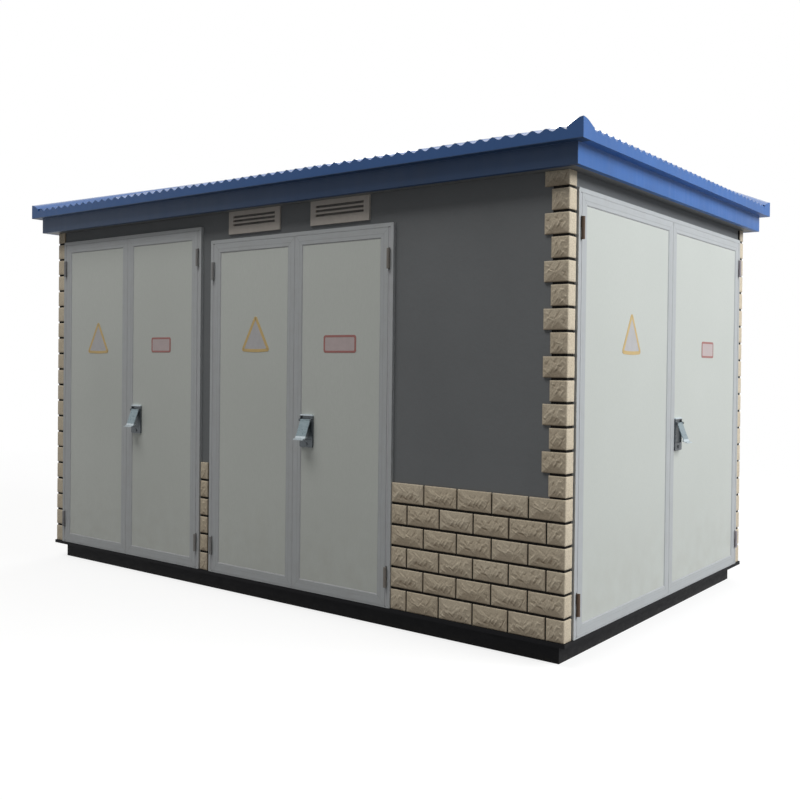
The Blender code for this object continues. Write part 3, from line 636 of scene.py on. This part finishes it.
def brick_relief(u, v, width, height, strokes, share):
    """Height over the wall and tint of a point of a brick's face: a hipped pillow with chisel strokes.

    The tint is painted light and shade, as light from above would fall: darker in the hollows, under the
    strokes, on the lower slope and at the bottom edge, paler on the ridges, the upper slope, the hips and the
    top edge.
    """
    side = np.minimum(u, width - u)
    level = np.minimum(v, height - v)
    edge = np.minimum(side, level)
    lip = np.clip(edge / EDGE_ROUND, 0.0, 1.0)
    pillow = np.minimum(np.clip(side / PILLOW_RUN_SIDE, 0, 1), np.clip(level / PILLOW_RUN_LEVEL, 0, 1))
    marks = np.zeros_like(u)
    for cu, cv, slant, reach, half, tall in strokes:
        du = u - cu
        dv = v - cv
        along = du * math.cos(slant) + dv * math.sin(slant)
        aside = -du * math.sin(slant) + dv * math.cos(slant) + WAVER * np.sin(along * WAVER_TURN)
        marks += tall * np.exp(-(aside / half) ** 2) * np.clip(1.4 - np.abs(along) / reach, 0, 1)
    marks = np.clip(marks, -1.0, 1.2) * np.clip((edge - EDGE_ROUND) / STROKE_FADE, 0, 1)
    relief = (MARGIN_HEIGHT + (FACE_HEIGHT - MARGIN_HEIGHT) * np.sin(lip * math.pi / 2)
              + share * (PILLOW_RISE * pillow + STROKE_HEIGHT * marks))
    steeper = side / PILLOW_RUN_SIDE - level / PILLOW_RUN_LEVEL
    is_level = np.clip(steeper / 0.12, 0, 1) * np.clip((PILLOW_RUN_LEVEL - level) / 0.006, 0, 1)
    is_low = is_level * (v < height / 2)
    is_top = is_level * (v > height / 2)
    hip = np.exp(-(steeper / 0.10) ** 2) * (edge < PILLOW_RUN_LEVEL)
    # Painted shade and light: downward sides of strokes, the lower slope and the bottom edge darker; ridges,
    # the upper slope, the hips and the top edge paler.
    underside = np.gradient(marks, v[:, 0], axis=0) * MARK_SCALE
    tint = 0.63 + 0.27 * marks - 0.34 * np.clip(underside, -1, 1) - 0.20 * is_low + 0.06 * is_top + 0.10 * hip
    tint += 0.20 * (1 - np.clip((height - v) / EDGE_SHADE_WIDTH, 0, 1)) - 0.22 * (1 - np.clip(v / EDGE_SHADE_WIDTH, 0, 1))
    if share < 1.0:
        tint = RETURN_TINT - (1.0 - tint) * share / 2
    return relief, np.clip(tint, 0.0, 1.0)


def stations(low, high, count):
    """Places of the rows or columns of points over a brick, closer at its rounded edges."""
    inner = np.linspace(low + EDGE_ROUND, high - EDGE_ROUND, count - 3)
    return np.concatenate(([low, low + EDGE_STATION], inner, [high - EDGE_STATION, high]))


class Cladding:
    """Gathers the bricks of one piece and makes its mesh, with each brick's tone and its painted shade and
    light (relief) as attributes.
    """

    def __init__(self, seed, cell):
        self.rng = np.random.default_rng(seed)
        self.cell = cell
        self.points = []
        self.faces = []
        self.tones = []
        self.reliefs = []
        self.count = 0

    def brick(self, face, start, end, foot, head, corner_start=False, corner_end=False, share=1.0):
        """One brick of a face, from start to end along its run. A corner side is mitred to the next face."""
        origin, along, outward = (np.array(entry) for entry in face)
        up = np.array((0.0, 0.0, 1.0))
        cut = CLADDING_THICKNESS - MARGIN_HEIGHT
        start += cut * corner_start
        end -= cut * corner_end
        cell = self.cell if share == 1.0 else max(self.cell, RETURN_CELL)
        columns = max(4, round((end - start + cut * (corner_start + corner_end)) / cell))
        us = stations(start, end, columns)
        vs = stations(foot, head, max(4, round((head - foot) / cell)))
        u, v = np.meshgrid(us, vs)
        mould = moulds[self.rng.integers(MOULDS)]
        relief, tint = brick_relief(u - start, v - foot, end - start, head - foot, mould, share)

        def place(a, b, c):
            return (origin + a[..., None] * along + b[..., None] * up
                    + (c[..., None] - CLADDING_THICKNESS) * outward)

        front = place(u, v, np.minimum(relief, CLADDING_THICKNESS)).reshape(-1, 3)
        rows, columns = u.shape
        ring = ([(0, c) for c in range(columns)] + [(r, columns - 1) for r in range(1, rows)]
                + [(rows - 1, c) for c in range(columns - 2, -1, -1)]
                + [(r, 0) for r in range(rows - 2, 0, -1)])
        base_u = np.clip([us[c] for _, c in ring], us[0] + MARGIN_HEIGHT * corner_start,
                         us[-1] - MARGIN_HEIGHT * corner_end)
        back = place(base_u, np.array([vs[r] for r, _ in ring]), np.full(len(ring), HAIR))
        grid = self.count + np.arange(rows * columns).reshape(rows, columns)
        rim = [int(grid[r, c]) for r, c in ring]
        back_ring = [self.count + rows * columns + index for index in range(len(ring))]
        faces = [(int(grid[r, c]), int(grid[r, c + 1]), int(grid[r + 1, c + 1]), int(grid[r + 1, c]))
                 for r in range(rows - 1) for c in range(columns - 1)]
        for index in range(len(ring)):
            following = (index + 1) % len(ring)
            faces.append((rim[following], rim[index], back_ring[index], back_ring[following]))
        faces.append(tuple(reversed(back_ring)))
        if np.dot(np.cross(along, up), outward) < 0:
            faces = [tuple(reversed(entry)) for entry in faces]
        amount = len(front) + len(back)
        self.points += [front, back]
        self.faces += faces
        self.tones.append(np.full(amount, self.rng.uniform(0.0, 1.0)))
        self.reliefs.append(np.concatenate((tint.reshape(-1), np.zeros(len(back)))))
        self.count += amount

    def build(self, name, backing, replaced):
        """Makes the piece: the bricks and the blocks of black filler behind their joints."""
        mesh = bpy.data.meshes.new(name)
        points = [tuple(point) for point in np.concatenate(self.points)]
        solid = bmesh.new()
        for low, high in backing:
            add_bar(solid, low, high)
        solid.verts.index_update()
        backing_points = [tuple(vert.co) for vert in solid.verts]
        backing_faces = [tuple(len(points) + vert.index for vert in face.verts) for face in solid.faces]
        solid.free()
        mesh.from_pydata(points + backing_points, [], self.faces + backing_faces)
        # relief is the painted shade and light of each point; tone is each brick's own tone.
        for key, values in (("tone", self.tones), ("relief", self.reliefs)):
            attribute = mesh.attributes.new(key, "FLOAT", "POINT")
            data = np.concatenate(values + [np.zeros(len(backing_points))])
            attribute.data.foreach_set("value", data.astype(np.float32))
        slots = np.zeros(len(mesh.polygons), np.int32)
        slots[len(self.faces):] = 1
        mesh.polygons.foreach_set("material_index", slots)
        mesh.update()
        mesh.shade_smooth()
        mesh.set_sharp_from_angle(angle=math.radians(SHARP_BRICK))
        piece = add_piece(name, mesh, [looks["brick"], looks["joint"]], STATIC)
        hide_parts(*replaced)


# Planes and levels of the walls, from the frame
ceiling_low, ceiling_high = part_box("ceiling")
wall_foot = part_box("left_wall")[0].z
wall_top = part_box("left_wall")[1].z
left_plane = ceiling_low.x - CLADDING_THICKNESS
right_plane = ceiling_high.x + CLADDING_THICKNESS
front_plane = ceiling_low.y - CLADDING_THICKNESS
back_plane = ceiling_high.y + CLADDING_THICKNESS
lip_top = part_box("door_1_right_lever")[0].z + LIP_RISE
latch_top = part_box("door_1_right_latch")[1].z

looks = {
    "wall": wall_coating(),
    "panel": panel_coating(),
    "blue": blue_paint("blue_coating", 0.42, 0.58, 0.0,
                       (ceiling_high.x, ceiling_high.y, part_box("eaves")[0].z)),
    "roof": blue_paint("blue_sheet_coating", 0.16, 0.28, 0.70),
    "black": black_paint(),
    "lever": zinc("lever_zinc", (0.205, 0.268, 0.296), (0.290, 0.360, 0.392), (lip_top + LIP_BLEND, lip_top)),
    "latch": zinc("latch_zinc", (0.080, 0.093, 0.104), (0.135, 0.152, 0.166),
                  [latch_top - drop for drop in LATCH_HIGHLIGHT]),
    "wire": vent_coating("wire_coating", (0.22, 0.21, 0.20), (0.29, 0.28, 0.265)),
    "vent": vent_coating("vent_coating", (0.49, 0.450, 0.410), (0.56, 0.515, 0.470)),
    "brick": brick_face(),
    "joint": mottled("joint_filler", (260.0, 4.0, 0.7), ((0.005, 0.0048, 0.0045), (0.016, 0.014, 0.012)),
                     (260.0, 4.0, 0.7), 0.001, 0.9, 0.2),
    "seal": mottled("seal_rubber", ((60.0, 60.0, 14.0), 3.0), ((0.45, 0.455, 0.475), (0.53, 0.535, 0.555)),
                    (400.0, 2.0), 0.0002, (0.6, 0.78)),
    "yellow": enamel("yellow_enamel", (0.62, 0.44, 0.18)),
    "pale": enamel("pale_enamel", (0.50, 0.49, 0.50)),
    "red": enamel("red_enamel", (0.36, 0.140, 0.125)),
    "rose": enamel("rose_enamel", (0.52, 0.43, 0.43)),
}


def corner_face(x, y, run, out):
    """A face: its outer corner at the foot, the way its bricks run, and the way it looks."""
    return Vector((x, y, wall_foot)), Vector((*run, 0)), Vector((*out, 0))


FRONT = corner_face(right_plane, front_plane, (-1, 0), (0, -1))
FRONT_LEFT = corner_face(left_plane, front_plane, (1, 0), (0, -1))
END_FRONT = corner_face(right_plane, front_plane, (0, 1), (1, 0))
END_BACK = corner_face(right_plane, back_plane, (0, -1), (1, 0))
BACK = corner_face(right_plane, back_plane, (-1, 0), (0, 1))
BACK_LEFT = corner_face(left_plane, back_plane, (1, 0), (0, 1))
LEFT = corner_face(left_plane, front_plane, (0, 1), (-1, 0))
LEFT_BACK = corner_face(left_plane, back_plane, (0, -1), (-1, 0))
PIER = corner_face(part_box("dado_pier")[1].x, front_plane, (-1, 0), (0, -1))


def course_spans(top):
    """Number, foot and head of each course up to the top, over the foot of the wall."""
    spans = []
    number = 0
    while number * COURSE < top - JOINT:
        foot = number * COURSE + (JOINT / 2 if number else 0.0)
        head = min((number + 1) * COURSE - JOINT / 2, top)
        if number == DADO_COURSES - 1:
            head = (number + 1) * COURSE - JOINT / 4
        spans.append((number, foot, head))
        number += 1
    return spans


def lay_quoin(cladding, face, reach=None):
    """The corner bricks of one face: teeth over the dado, or plain bricks of one reach from the foot."""
    for number, foot, head in course_spans(wall_top - wall_foot - HAIR):
        if reach:
            cladding.brick(face, 0.0, reach, foot, head, corner_start=True, share=RETURN_RELIEF)
        elif number >= DADO_COURSES:
            tooth = QUOIN_LONG if (number - DADO_COURSES) % 2 else QUOIN_SHORT
            cladding.brick(face, 0.0, tooth, foot, head, corner_start=True)


def lay_dado(cladding, face, reach, corner_end):
    """Six courses in running bond from a corner, to a free end or another corner."""
    for number, foot, head in course_spans(DADO_COURSES * COURSE):
        edges = [0.0]
        position = BRICK_PITCH if number % 2 else HALF_BRICK
        while position < reach - SHORTEST_BRICK:
            edges.append(position)
            position += BRICK_PITCH
        edges.append(reach)
        last = len(edges) - 2
        for index in range(last + 1):
            low = edges[index] + (PERPEND / 2 if index else 0.0)
            high = edges[index + 1] - (PERPEND / 2 if index < last else 0.0)
            cladding.brick(face, low, high, foot, head, corner_start=index == 0,
                           corner_end=corner_end and index == last)


def lay_column(cladding, face, reach):
    """Six courses of one brick."""
    for _, foot, head in course_spans(DADO_COURSES * COURSE):
        cladding.brick(face, 0.0, reach, foot, head)


def slab(face, start, end, foot, head):
    """Corners of a block of filler on a face."""
    corner, run, out = face
    back = corner + run * start - out * (CLADDING_THICKNESS - BACKING_SEAT) + Vector((0, 0, foot))
    front = corner + run * end - out * (CLADDING_THICKNESS - BACKING_THICKNESS) + Vector((0, 0, head))
    return tuple(map(min, back, front)), tuple(map(max, back, front))


def make_cladding():
    """Each piece: its seed and cell, the nodes that it stands for, its bricks, and its blocks of filler."""
    top = wall_top - wall_foot - BACKING_TOP
    dado = DADO_COURSES * COURSE - JOINT
    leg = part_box("end_door_frame")[0].y - RETURN_GROOVE - front_plane
    left_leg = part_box("door_1_frame")[0].x - RETURN_GROOVE - left_plane
    far_leg = leg + RETURN_GROOVE - FAR_GROOVE
    reach = right_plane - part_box("front_wall")[0].x
    length = right_plane - left_plane
    depth = back_plane - front_plane
    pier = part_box("dado_pier")[1].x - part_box("dado_pier")[0].x
    thin = CLADDING_THICKNESS - BACKING_SEAT
    deep = CLADDING_THICKNESS - BACKING_THICKNESS
    tooth = QUOIN_SHORT - TOOTH_SIDE
    plans = (
        (11, NEAR_CELL, "cladding_front_right", ("quoin_front_right", "dado_front"),
         ((lay_dado, FRONT, reach, False), (lay_quoin, FRONT), (lay_quoin, END_FRONT, leg)),
         ((FRONT, thin, reach, 0.0, dado), (FRONT, thin, tooth, dado, top),
          (END_FRONT, deep, leg - BACKING_SIDE, 0.0, top))),
        (12, NEAR_CELL, "cladding_pier", ("dado_pier",),
         ((lay_column, PIER, pier),), ((PIER, PIER_SIDE, pier - PIER_SIDE, 0.0, dado),)),
        (13, FAR_CELL, "cladding_left", ("quoin_front_left", "dado_left"),
         ((lay_quoin, FRONT_LEFT, left_leg), (lay_quoin, LEFT), (lay_dado, LEFT, depth, True)),
         ((FRONT_LEFT, thin, left_leg - BACKING_SIDE, 0.0, top), (LEFT, deep, tooth, 0.0, top),
          (LEFT, QUOIN_SHORT, depth - QUOIN_SHORT, 0.0, dado))),
        (14, FAR_CELL, "cladding_back_left", ("quoin_back_left",),
         ((lay_quoin, LEFT_BACK), (lay_quoin, BACK_LEFT)),
         ((LEFT_BACK, thin, tooth, 0.0, top), (BACK_LEFT, deep, tooth, 0.0, top))),
        (15, FAR_CELL, "cladding_back", ("dado_back",),
         ((lay_dado, BACK, length, True),), ((BACK, QUOIN_SHORT, length - QUOIN_SHORT, 0.0, dado),)),
        (16, FAR_CELL, "cladding_back_right", ("quoin_back_right",),
         ((lay_quoin, BACK), (lay_quoin, END_BACK, far_leg)),
         ((BACK, thin, tooth, 0.0, top), (END_BACK, deep, leg - BACKING_SIDE, 0.0, top))))
    for seed, cell, name, nodes, rows, filler in plans:
        piece = Cladding(seed, cell)
        for lay, *details in rows:
            lay(piece, *details)
        piece.build(name, [slab(*entry) for entry in filler], nodes)


def door_plane(door):
    """The axis along a door, the axis through it, the plane of its face and the way it looks."""
    if door == "end_door":
        return "Y", "X", right_plane, 1.0
    return "X", "Y", front_plane, -1.0


def span_of(node, axis):
    low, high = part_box(node)
    return getattr(low, axis.lower()), getattr(high, axis.lower())


def placer(door, plane):
    """Turns across, up and out from a plane of a door into a point of the frame."""
    along, _, _, outward = door_plane(door)

    def place(across, up, out):
        depth = plane + outward * out
        return (depth, across, up) if along == "Y" else (across, depth, up)

    return place


def make_doors():
    for door in DOORS:
        along, through, _, outward = door_plane(door)
        pins = {}
        for joint in frame["joints"]:
            if joint["name"].startswith(door) and joint["name"].endswith("hinge"):
                pins[joint["child"]] = joint["pos_m"][1 if along == "Y" else 0]
        rectangle = (*span_of(door + "_frame", along), *span_of(door + "_frame", "z"))
        heights = (rectangle[2] + HINGE_RISE, rectangle[3] - HINGE_DROP)
        irons = HINGE_IRON[door]
        dress(door + "_frame",
              section_metal(door + "_frame_metal", rectangle, door, pins.values(), heights, irons))
        for leaf, pin in pins.items():
            panel = leaf + "_panel"
            carrier = frame["nodes"][panel]["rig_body"]
            low, high = span_of(panel, along)
            foot, head = span_of(panel, "z")
            rectangle = (low - LEAF_STILE, high + LEAF_STILE, foot - LEAF_STILE, head + LEAF_STILE)
            iron = irons[0 if leaf.endswith("left") else 1]
            dress(leaf + "_frame", section_metal(leaf + "_frame_metal", rectangle, door, (pin,), heights,
                                                 (iron, iron), LEAF_STEP))
            dress(panel, looks["panel"])
            surface = span_of(panel, through)[1 if outward > 0 else 0]
            place = placer(door, surface + outward * PLATE_SEAT)
            make_sign(door, leaf, carrier, place)
            make_glazing(leaf + "_glazing", carrier, (low + LIP_OVER, high - LIP_OVER,
                                                      foot + LIP_OVER, head - LIP_OVER), place)
        make_door_seals(door, heights, rectangle)


def make_door_seals(door, heights, leaf_edges):
    """Seals between the hinges, over and under the leaves, and at the meeting seam."""
    foot, head = leaf_edges[2:]
    along = door_plane(door)[0]
    left = span_of(door + "_left_panel", along)[0] - LEAF_STILE
    seam, right = span_of(door + "_right_panel", along)
    seam -= LEAF_STILE + HAIR
    right += LEAF_STILE
    jambs = (left - HINGE_GAP + HAIR, right + HINGE_GAP - HAIR)
    clear = HINGE_HALF_LENGTH + SEAL_CLEAR
    stretches = ((foot, heights[0] - clear), (heights[0] + clear, heights[1] - clear),
                 (heights[1] + clear, head))
    top = head + LEVEL_GAP - HAIR
    bottom = foot - LEVEL_GAP + HAIR
    boxes = {}
    for number, (low, high) in enumerate(stretches, 1):
        boxes["left_%d" % number] = (jambs[0], jambs[0] + SIDE_SEAL, low, high)
        boxes["right_%d" % number] = (jambs[1] - SIDE_SEAL, jambs[1], low, high)
    boxes["head"] = (left, right, top - LEVEL_SEAL, top)
    boxes["foot"] = (left, right, bottom, bottom + LEVEL_SEAL)
    boxes["seam"] = (seam - SEAM_SEAL, seam, foot, head)
    for side, box in boxes.items():
        body = frame["nodes"][door + "_right_panel"]["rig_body"] if side == "seam" else STATIC
        make_seal(door + "_seal_" + side, body, door, box)


def make_seal(name, body, door, box):
    """A rubber strip with a rounded front. box is low and high along the door, foot and head."""
    place = placer(door, door_plane(door)[2])
    low, high, foot, head = box
    upright = head - foot > high - low
    half = (high - low if upright else head - foot) / 2
    middle = (low + high) / 2 if upright else (foot + head) / 2
    section = [(middle - half, -SEAL_RECESS - SEAL_DEPTH)]
    for step in range(SEAL_FACETS + 1):
        turn = math.pi * step / SEAL_FACETS
        section.append((middle - half * math.cos(turn), -SEAL_RECESS - SEAL_CROWN * (1 - math.sin(turn))))
    section.append((middle + half, -SEAL_RECESS - SEAL_DEPTH))
    bm = bmesh.new()
    rings = [[bm.verts.new(place(side, end, out) if upright else place(end, side, out))
              for side, out in section] for end in ((foot, head) if upright else (low, high))]
    stitch(bm, rings)
    bm.faces.new(rings[0])
    bm.faces.new(rings[1][::-1])
    add_solid(name, bm, [looks["seal"]], body)


def make_glazing(name, body, rectangle, place):
    """A mitred ring of rubber in the corner between a panel and the lip over its edge."""
    low, high, foot, head = rectangle
    section = ((GLAZING_SEAT, 0.0), (GLAZING_WIDTH, 0.0), (GLAZING_WIDTH * 0.62, GLAZING_HEIGHT * 0.5),
               (GLAZING_SEAT, GLAZING_HEIGHT))
    bm = bmesh.new()
    rings = [[bm.verts.new(place(high - inset if right else low + inset,
                                 head - inset if top else foot + inset, out))
              for inset, out in section] for right, top in ((0, 0), (1, 0), (1, 1), (0, 1))]
    stitch(bm, rings + rings[:1])
    add_solid(name, bm, [looks["seal"]], body)


def rounded_outline(corners, radius, bulge=0.0):
    """A convex outline with rounded corners, anticlockwise. Its first edge bulges outwards."""
    points = []
    total = len(corners)
    for index in range(total):
        corner = Vector(corners[index])
        before = (Vector(corners[index - 1]) - corner).normalized()
        after = (Vector(corners[(index + 1) % total]) - corner).normalized()
        half = before.angle(after) / 2
        middle = corner + (before + after).normalized() * radius / math.sin(half)
        sweep = math.pi - 2 * half
        start = math.atan2(*reversed((corner + before * radius / math.tan(half) - middle)[:]))
        for step in range(CORNER_STEPS + 1):
            turn = start + sweep * step / CORNER_STEPS
            points.append(middle + Vector((math.cos(turn), math.sin(turn))) * radius)
        if index == 0 and bulge:
            first = points[-1].copy()
            far = Vector(corners[1]) + (corner - Vector(corners[1])).normalized() * radius / math.tan(half)
            for step in range(1, BULGE_STEPS):
                share = step / BULGE_STEPS
                points.append(first.lerp(far, share) - Vector((0, bulge * 4 * share * (1 - share))))
    return points


def inset_outline(points, distance):
    """The outline moved inwards along the bisector of each corner."""
    moved = []
    total = len(points)
    for index in range(total):
        edge_a = (points[index] - points[index - 1]).normalized()
        edge_b = (points[(index + 1) % total] - points[index]).normalized()
        normal = (Vector((-edge_a.y, edge_a.x)) + Vector((-edge_b.y, edge_b.x))).normalized()
        share = max(0.5, normal.dot(Vector((-edge_a.y, edge_a.x))))
        moved.append(points[index] + normal * distance / share)
    return moved


def make_plate(name, body, outer, inner, place, materials):
    """A thin blank plate: rim and middle in two enamels, with a small bead at the rim's inner edge."""
    bm = bmesh.new()
    step = PLATE_THICKNESS / 3
    outlines = ((outer, 0.0), (outer, PLATE_THICKNESS - step), (inset_outline(outer, step), PLATE_THICKNESS),
                (inner, PLATE_THICKNESS), (inset_outline(inner, PLATE_BEAD), PLATE_THICKNESS - PLATE_BEAD))
    rings = [[bm.verts.new(place(point.x, point.y, out)) for point in ring] for ring, out in outlines]
    faces = stitch(bm, rings)
    bm.faces.new(rings[0][::-1])
    faces.append(bm.faces.new(rings[-1]))
    for face in faces[-1 - len(outer):]:
        face.material_index = 1
    add_solid(name, bm, materials, body)


def make_sign(door, leaf, carrier, place):
    """The blank plate of one leaf: a triangle on the left leaf and an oblong plate on the right."""
    low, high = span_of(leaf + "_panel", door_plane(door)[0])
    triangle_shift, triangle_rise, sign_shift, sign_width = SIGNS[door]
    if leaf.endswith("left"):
        centre = (low + high) / 2 + triangle_shift
        foot = wall_foot + triangle_rise
        corners = ((centre - TRIANGLE_BASE / 2, foot), (centre + TRIANGLE_BASE / 2, foot),
                   (centre, foot + TRIANGLE_HEIGHT))
        outer = rounded_outline(corners, TRIANGLE_CORNER, TRIANGLE_BULGE)
        make_plate(leaf + "_triangle", carrier, outer, inset_outline(outer, TRIANGLE_RIM), place,
                   [looks["yellow"], looks["pale"]])
        return
    centre = (low + high) / 2 + sign_shift
    foot = wall_foot + SIGN_RISE
    outlines = []
    for rim, radius in ((0.0, SIGN_CORNER), (SIGN_RIM, SIGN_CORNER / 2)):
        sides = (centre - sign_width / 2 + rim, centre + sign_width / 2 - rim)
        levels = (foot + rim, foot + SIGN_HEIGHT - rim)
        corners = ((sides[0], levels[0]), (sides[1], levels[0]), (sides[1], levels[1]), (sides[0], levels[1]))
        outlines.append(rounded_outline(corners, radius))
    make_plate(leaf + "_plate", carrier, *outlines, place, [looks["red"], looks["rose"]])


def make_vent_screens():
    """Upright and level wires behind each vent's slots."""
    for vent in ("vent_1", "vent_2"):
        low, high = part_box(vent)
        first = high.y + HAIR
        second = first + WIRE_THICKNESS
        centre = (low.x + high.x) / 2
        middle = (low.z + high.z) / 2 + SCREEN_RISE
        bm = bmesh.new()
        columns = round(SCREEN_WIDTH / WIRE_SPACING)
        for index in range(columns + 1):
            x = centre + (index - columns / 2) * WIRE_SPACING
            add_bar(bm, (x - WIRE_WIDTH / 2, first, middle - SCREEN_HEIGHT / 2),
                    (x + WIRE_WIDTH / 2, second, middle + SCREEN_HEIGHT / 2))
        rows = round(SCREEN_HEIGHT / WIRE_SPACING)
        for index in range(rows + 1):
            z = middle + (index - rows / 2) * WIRE_SPACING
            add_bar(bm, (centre - SCREEN_WIDTH / 2, second, z - WIRE_WIDTH / 2),
                    (centre + SCREEN_WIDTH / 2, second + WIRE_THICKNESS, z + WIRE_WIDTH / 2))
        add_solid(vent + "_screen", bm, [looks["wire"]], STATIC)


def trim_height(along, half, share):
    """Height of the roof edge over the sheets' foot, at a distance along a side from its middle.

    half is half the side's length, share how fast one leaves a hip along the side.
    """
    wave = BOARD + WAVE_DEPTH * (1 + math.cos(2 * math.pi * along / WAVE_PITCH)) / 2 + TRIM_OVER
    aside = (half - abs(along)) * share / CAP_HALF_WIDTH
    if aside < CAP_REACH:
        crown = CAP_CROWN * max(0.0, math.cos(aside * math.pi / 2))
        wave = max(wave, BOARD + WAVE_DEPTH + CAP_RISE + crown)
    return wave


def make_roof_edge():
    """One closed ring of thin trim in front of the eaves band and the scalloped ends of the sheets."""
    low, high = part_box("roof_front")
    half_x = high.x + TRIM_SIDE
    half_y = -low.y
    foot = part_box("eaves")[1].z - BAND_HEIGHT + TRIM_FOOT
    hip = math.hypot(HIP_RUN, half_y)
    sides = ((half_x, half_y / hip, lambda s, out: (s, -half_y - out)),
             (half_y, HIP_RUN / hip, lambda s, out: (half_x + out, s)),
             (half_x, half_y / hip, lambda s, out: (-s, half_y + out)),
             (half_y, HIP_RUN / hip, lambda s, out: (-half_x - out, -s)))
    bm = bmesh.new()
    rings = [[], [], [], []]
    outside = HAIR + TRIM_THICKNESS
    for half, share, at in sides:
        count = round(half / (WAVE_PITCH / TRIM_STEPS))
        for index in range(-count, count):
            s = half * index / count
            top = low.z + trim_height(s, half, share)
            for ring, (out, z) in zip(rings, ((outside, foot), (outside, top), (HAIR, top), (HAIR, foot))):
                x, y = at(s - out if index == -count else s, out)
                ring.append(bm.verts.new((x, y, z)))
    stitch(bm, rings + rings[:1])
    add_solid("roof_edge_trim", bm, [looks["blue"]], STATIC)


def make_camera():
    forward = Vector((math.sin(CAMERA_YAW) * math.cos(CAMERA_PITCH),
                      math.cos(CAMERA_YAW) * math.cos(CAMERA_PITCH), math.sin(CAMERA_PITCH)))
    level = Vector((math.cos(CAMERA_YAW), -math.sin(CAMERA_YAW), 0.0))
    rise = level.cross(forward)
    right = level * math.cos(CAMERA_ROLL) + rise * math.sin(CAMERA_ROLL)
    up = rise * math.cos(CAMERA_ROLL) - level * math.sin(CAMERA_ROLL)
    lens = bpy.data.cameras.new("camera")
    lens.sensor_fit = "HORIZONTAL"
    lens.sensor_width = SENSOR_WIDTH
    lens.lens = FOCAL_PIXELS / FRAME_PIXELS * SENSOR_WIDTH
    lens.shift_y = HORIZON_SHIFT_PIXELS / FRAME_PIXELS
    lens.clip_end = FAR_CLIP
    camera = bpy.data.objects.new("camera", lens)
    turn = Matrix((right, up, -forward)).transposed().to_4x4()
    camera.matrix_world = Matrix.Translation(CAMERA_PLACE) @ turn
    bpy.context.scene.collection.objects.link(camera)
    bpy.context.scene.camera = camera


def add_lamp(name, place, target, size, power, colour):
    light = bpy.data.lights.new(name, "AREA")
    light.shape = "RECTANGLE"
    light.size, light.size_y = size
    light.energy = power
    light.color = colour
    made = bpy.data.objects.new(name, light)
    direction = Vector(target) - Vector(place)
    made.rotation_euler = direction.to_track_quat("-Z", "Y").to_euler()
    made.location = place
    bpy.context.scene.collection.objects.link(made)


def make_world():
    """Light from all round, seen as plain white where it is looked at directly."""
    world = bpy.data.worlds.new("studio")
    world.use_nodes = True
    t = Tree(world.node_tree)
    light = t.tree.nodes["Background"]
    white = t.node("ShaderNodeBackground")
    for background, colour, strength in ((light, WORLD_COLOUR, WORLD_STRENGTH), (white, WHITE, 1.0)):
        t.join((*colour, 1.0), background.inputs["Color"])
        t.join(strength, background.inputs["Strength"])
    t.show(t.seen_directly(), light, white, "World Output")
    bpy.context.scene.world = world


def floor_material():
    """Pale floor that keeps the shadow near the object and fades into the white backdrop."""
    g = Graph("pale_floor", 0.9, 0.1)
    g.join((*FLOOR_GREY, 1.0), g.shader.inputs["Base Color"])
    direct = g.seen_directly()
    lift = g.node("ShaderNodeEmission")
    g.join(g.times(direct, FLOOR_LIFT), lift.inputs["Strength"])
    near = g.node("ShaderNodeAddShader")
    g.join(g.shader.outputs[0], near.inputs[0])
    g.join(lift.outputs[0], near.inputs[1])
    far = g.node("ShaderNodeEmission")
    g.join(1.0, far.inputs["Strength"])
    x = g.math("DIVIDE", g.axis("X"), FLOOR_STRETCH)
    y = g.axis("Y")
    distance = g.math("SQRT", g.math("ADD", g.times(x, x), g.times(y, y)))
    g.show(g.times(g.span(distance, *FLOOR_FADE), direct), near, far, "Material Output")
    return g.material


def make_stage():
    bm = bmesh.new()
    bmesh.ops.create_grid(bm, x_segments=2, y_segments=2, size=FLOOR_SIZE / 2)
    bmesh.ops.translate(bm, vec=(0, 0, -FLOOR_DROP), verts=bm.verts[:])
    mesh = mesh_of(bm, "floor")
    mesh.materials.append(floor_material())
    floor = bpy.data.objects.new("floor", mesh)
    bpy.context.scene.collection.objects.link(floor)
    make_world()
    for name, settings in LAMPS.items():
        add_lamp(name, *settings)


def dress_frame():
    finishes = {
        "wall": ("left_wall", "back_wall", "front_wall", "front_pier", "header_1", "header_2", "end_header",
                 "ceiling"),
        "black": ("floor_plate", "base_frame"),
        "vent": ("vent_1", "vent_2"),
        "latch": [door + "_right_latch" for door in DOORS],
        "lever": [door + "_right_lever" for door in DOORS]}
    for look, nodes in finishes.items():
        for node in nodes:
            dress(node, looks[look])
    rounded_copy("eaves", looks["blue"], SHARP_EAVES, EAVES_ROUND)
    for side in ("front", "back", "left", "right"):
        rounded_copy("roof_" + side, looks["roof"], SHARP_SHEET)
    for cap in ("ridge_cap", "hip_cap_front_right", "hip_cap_back_right", "hip_cap_front_left",
                "hip_cap_back_left"):
        rounded_copy(cap, looks["roof"], SHARP_CAP)


bpy.context.scene.view_settings.view_transform = "Standard"
make_stage()
make_camera()
dress_frame()
make_doors()
make_vent_screens()
make_roof_edge()
make_cladding()
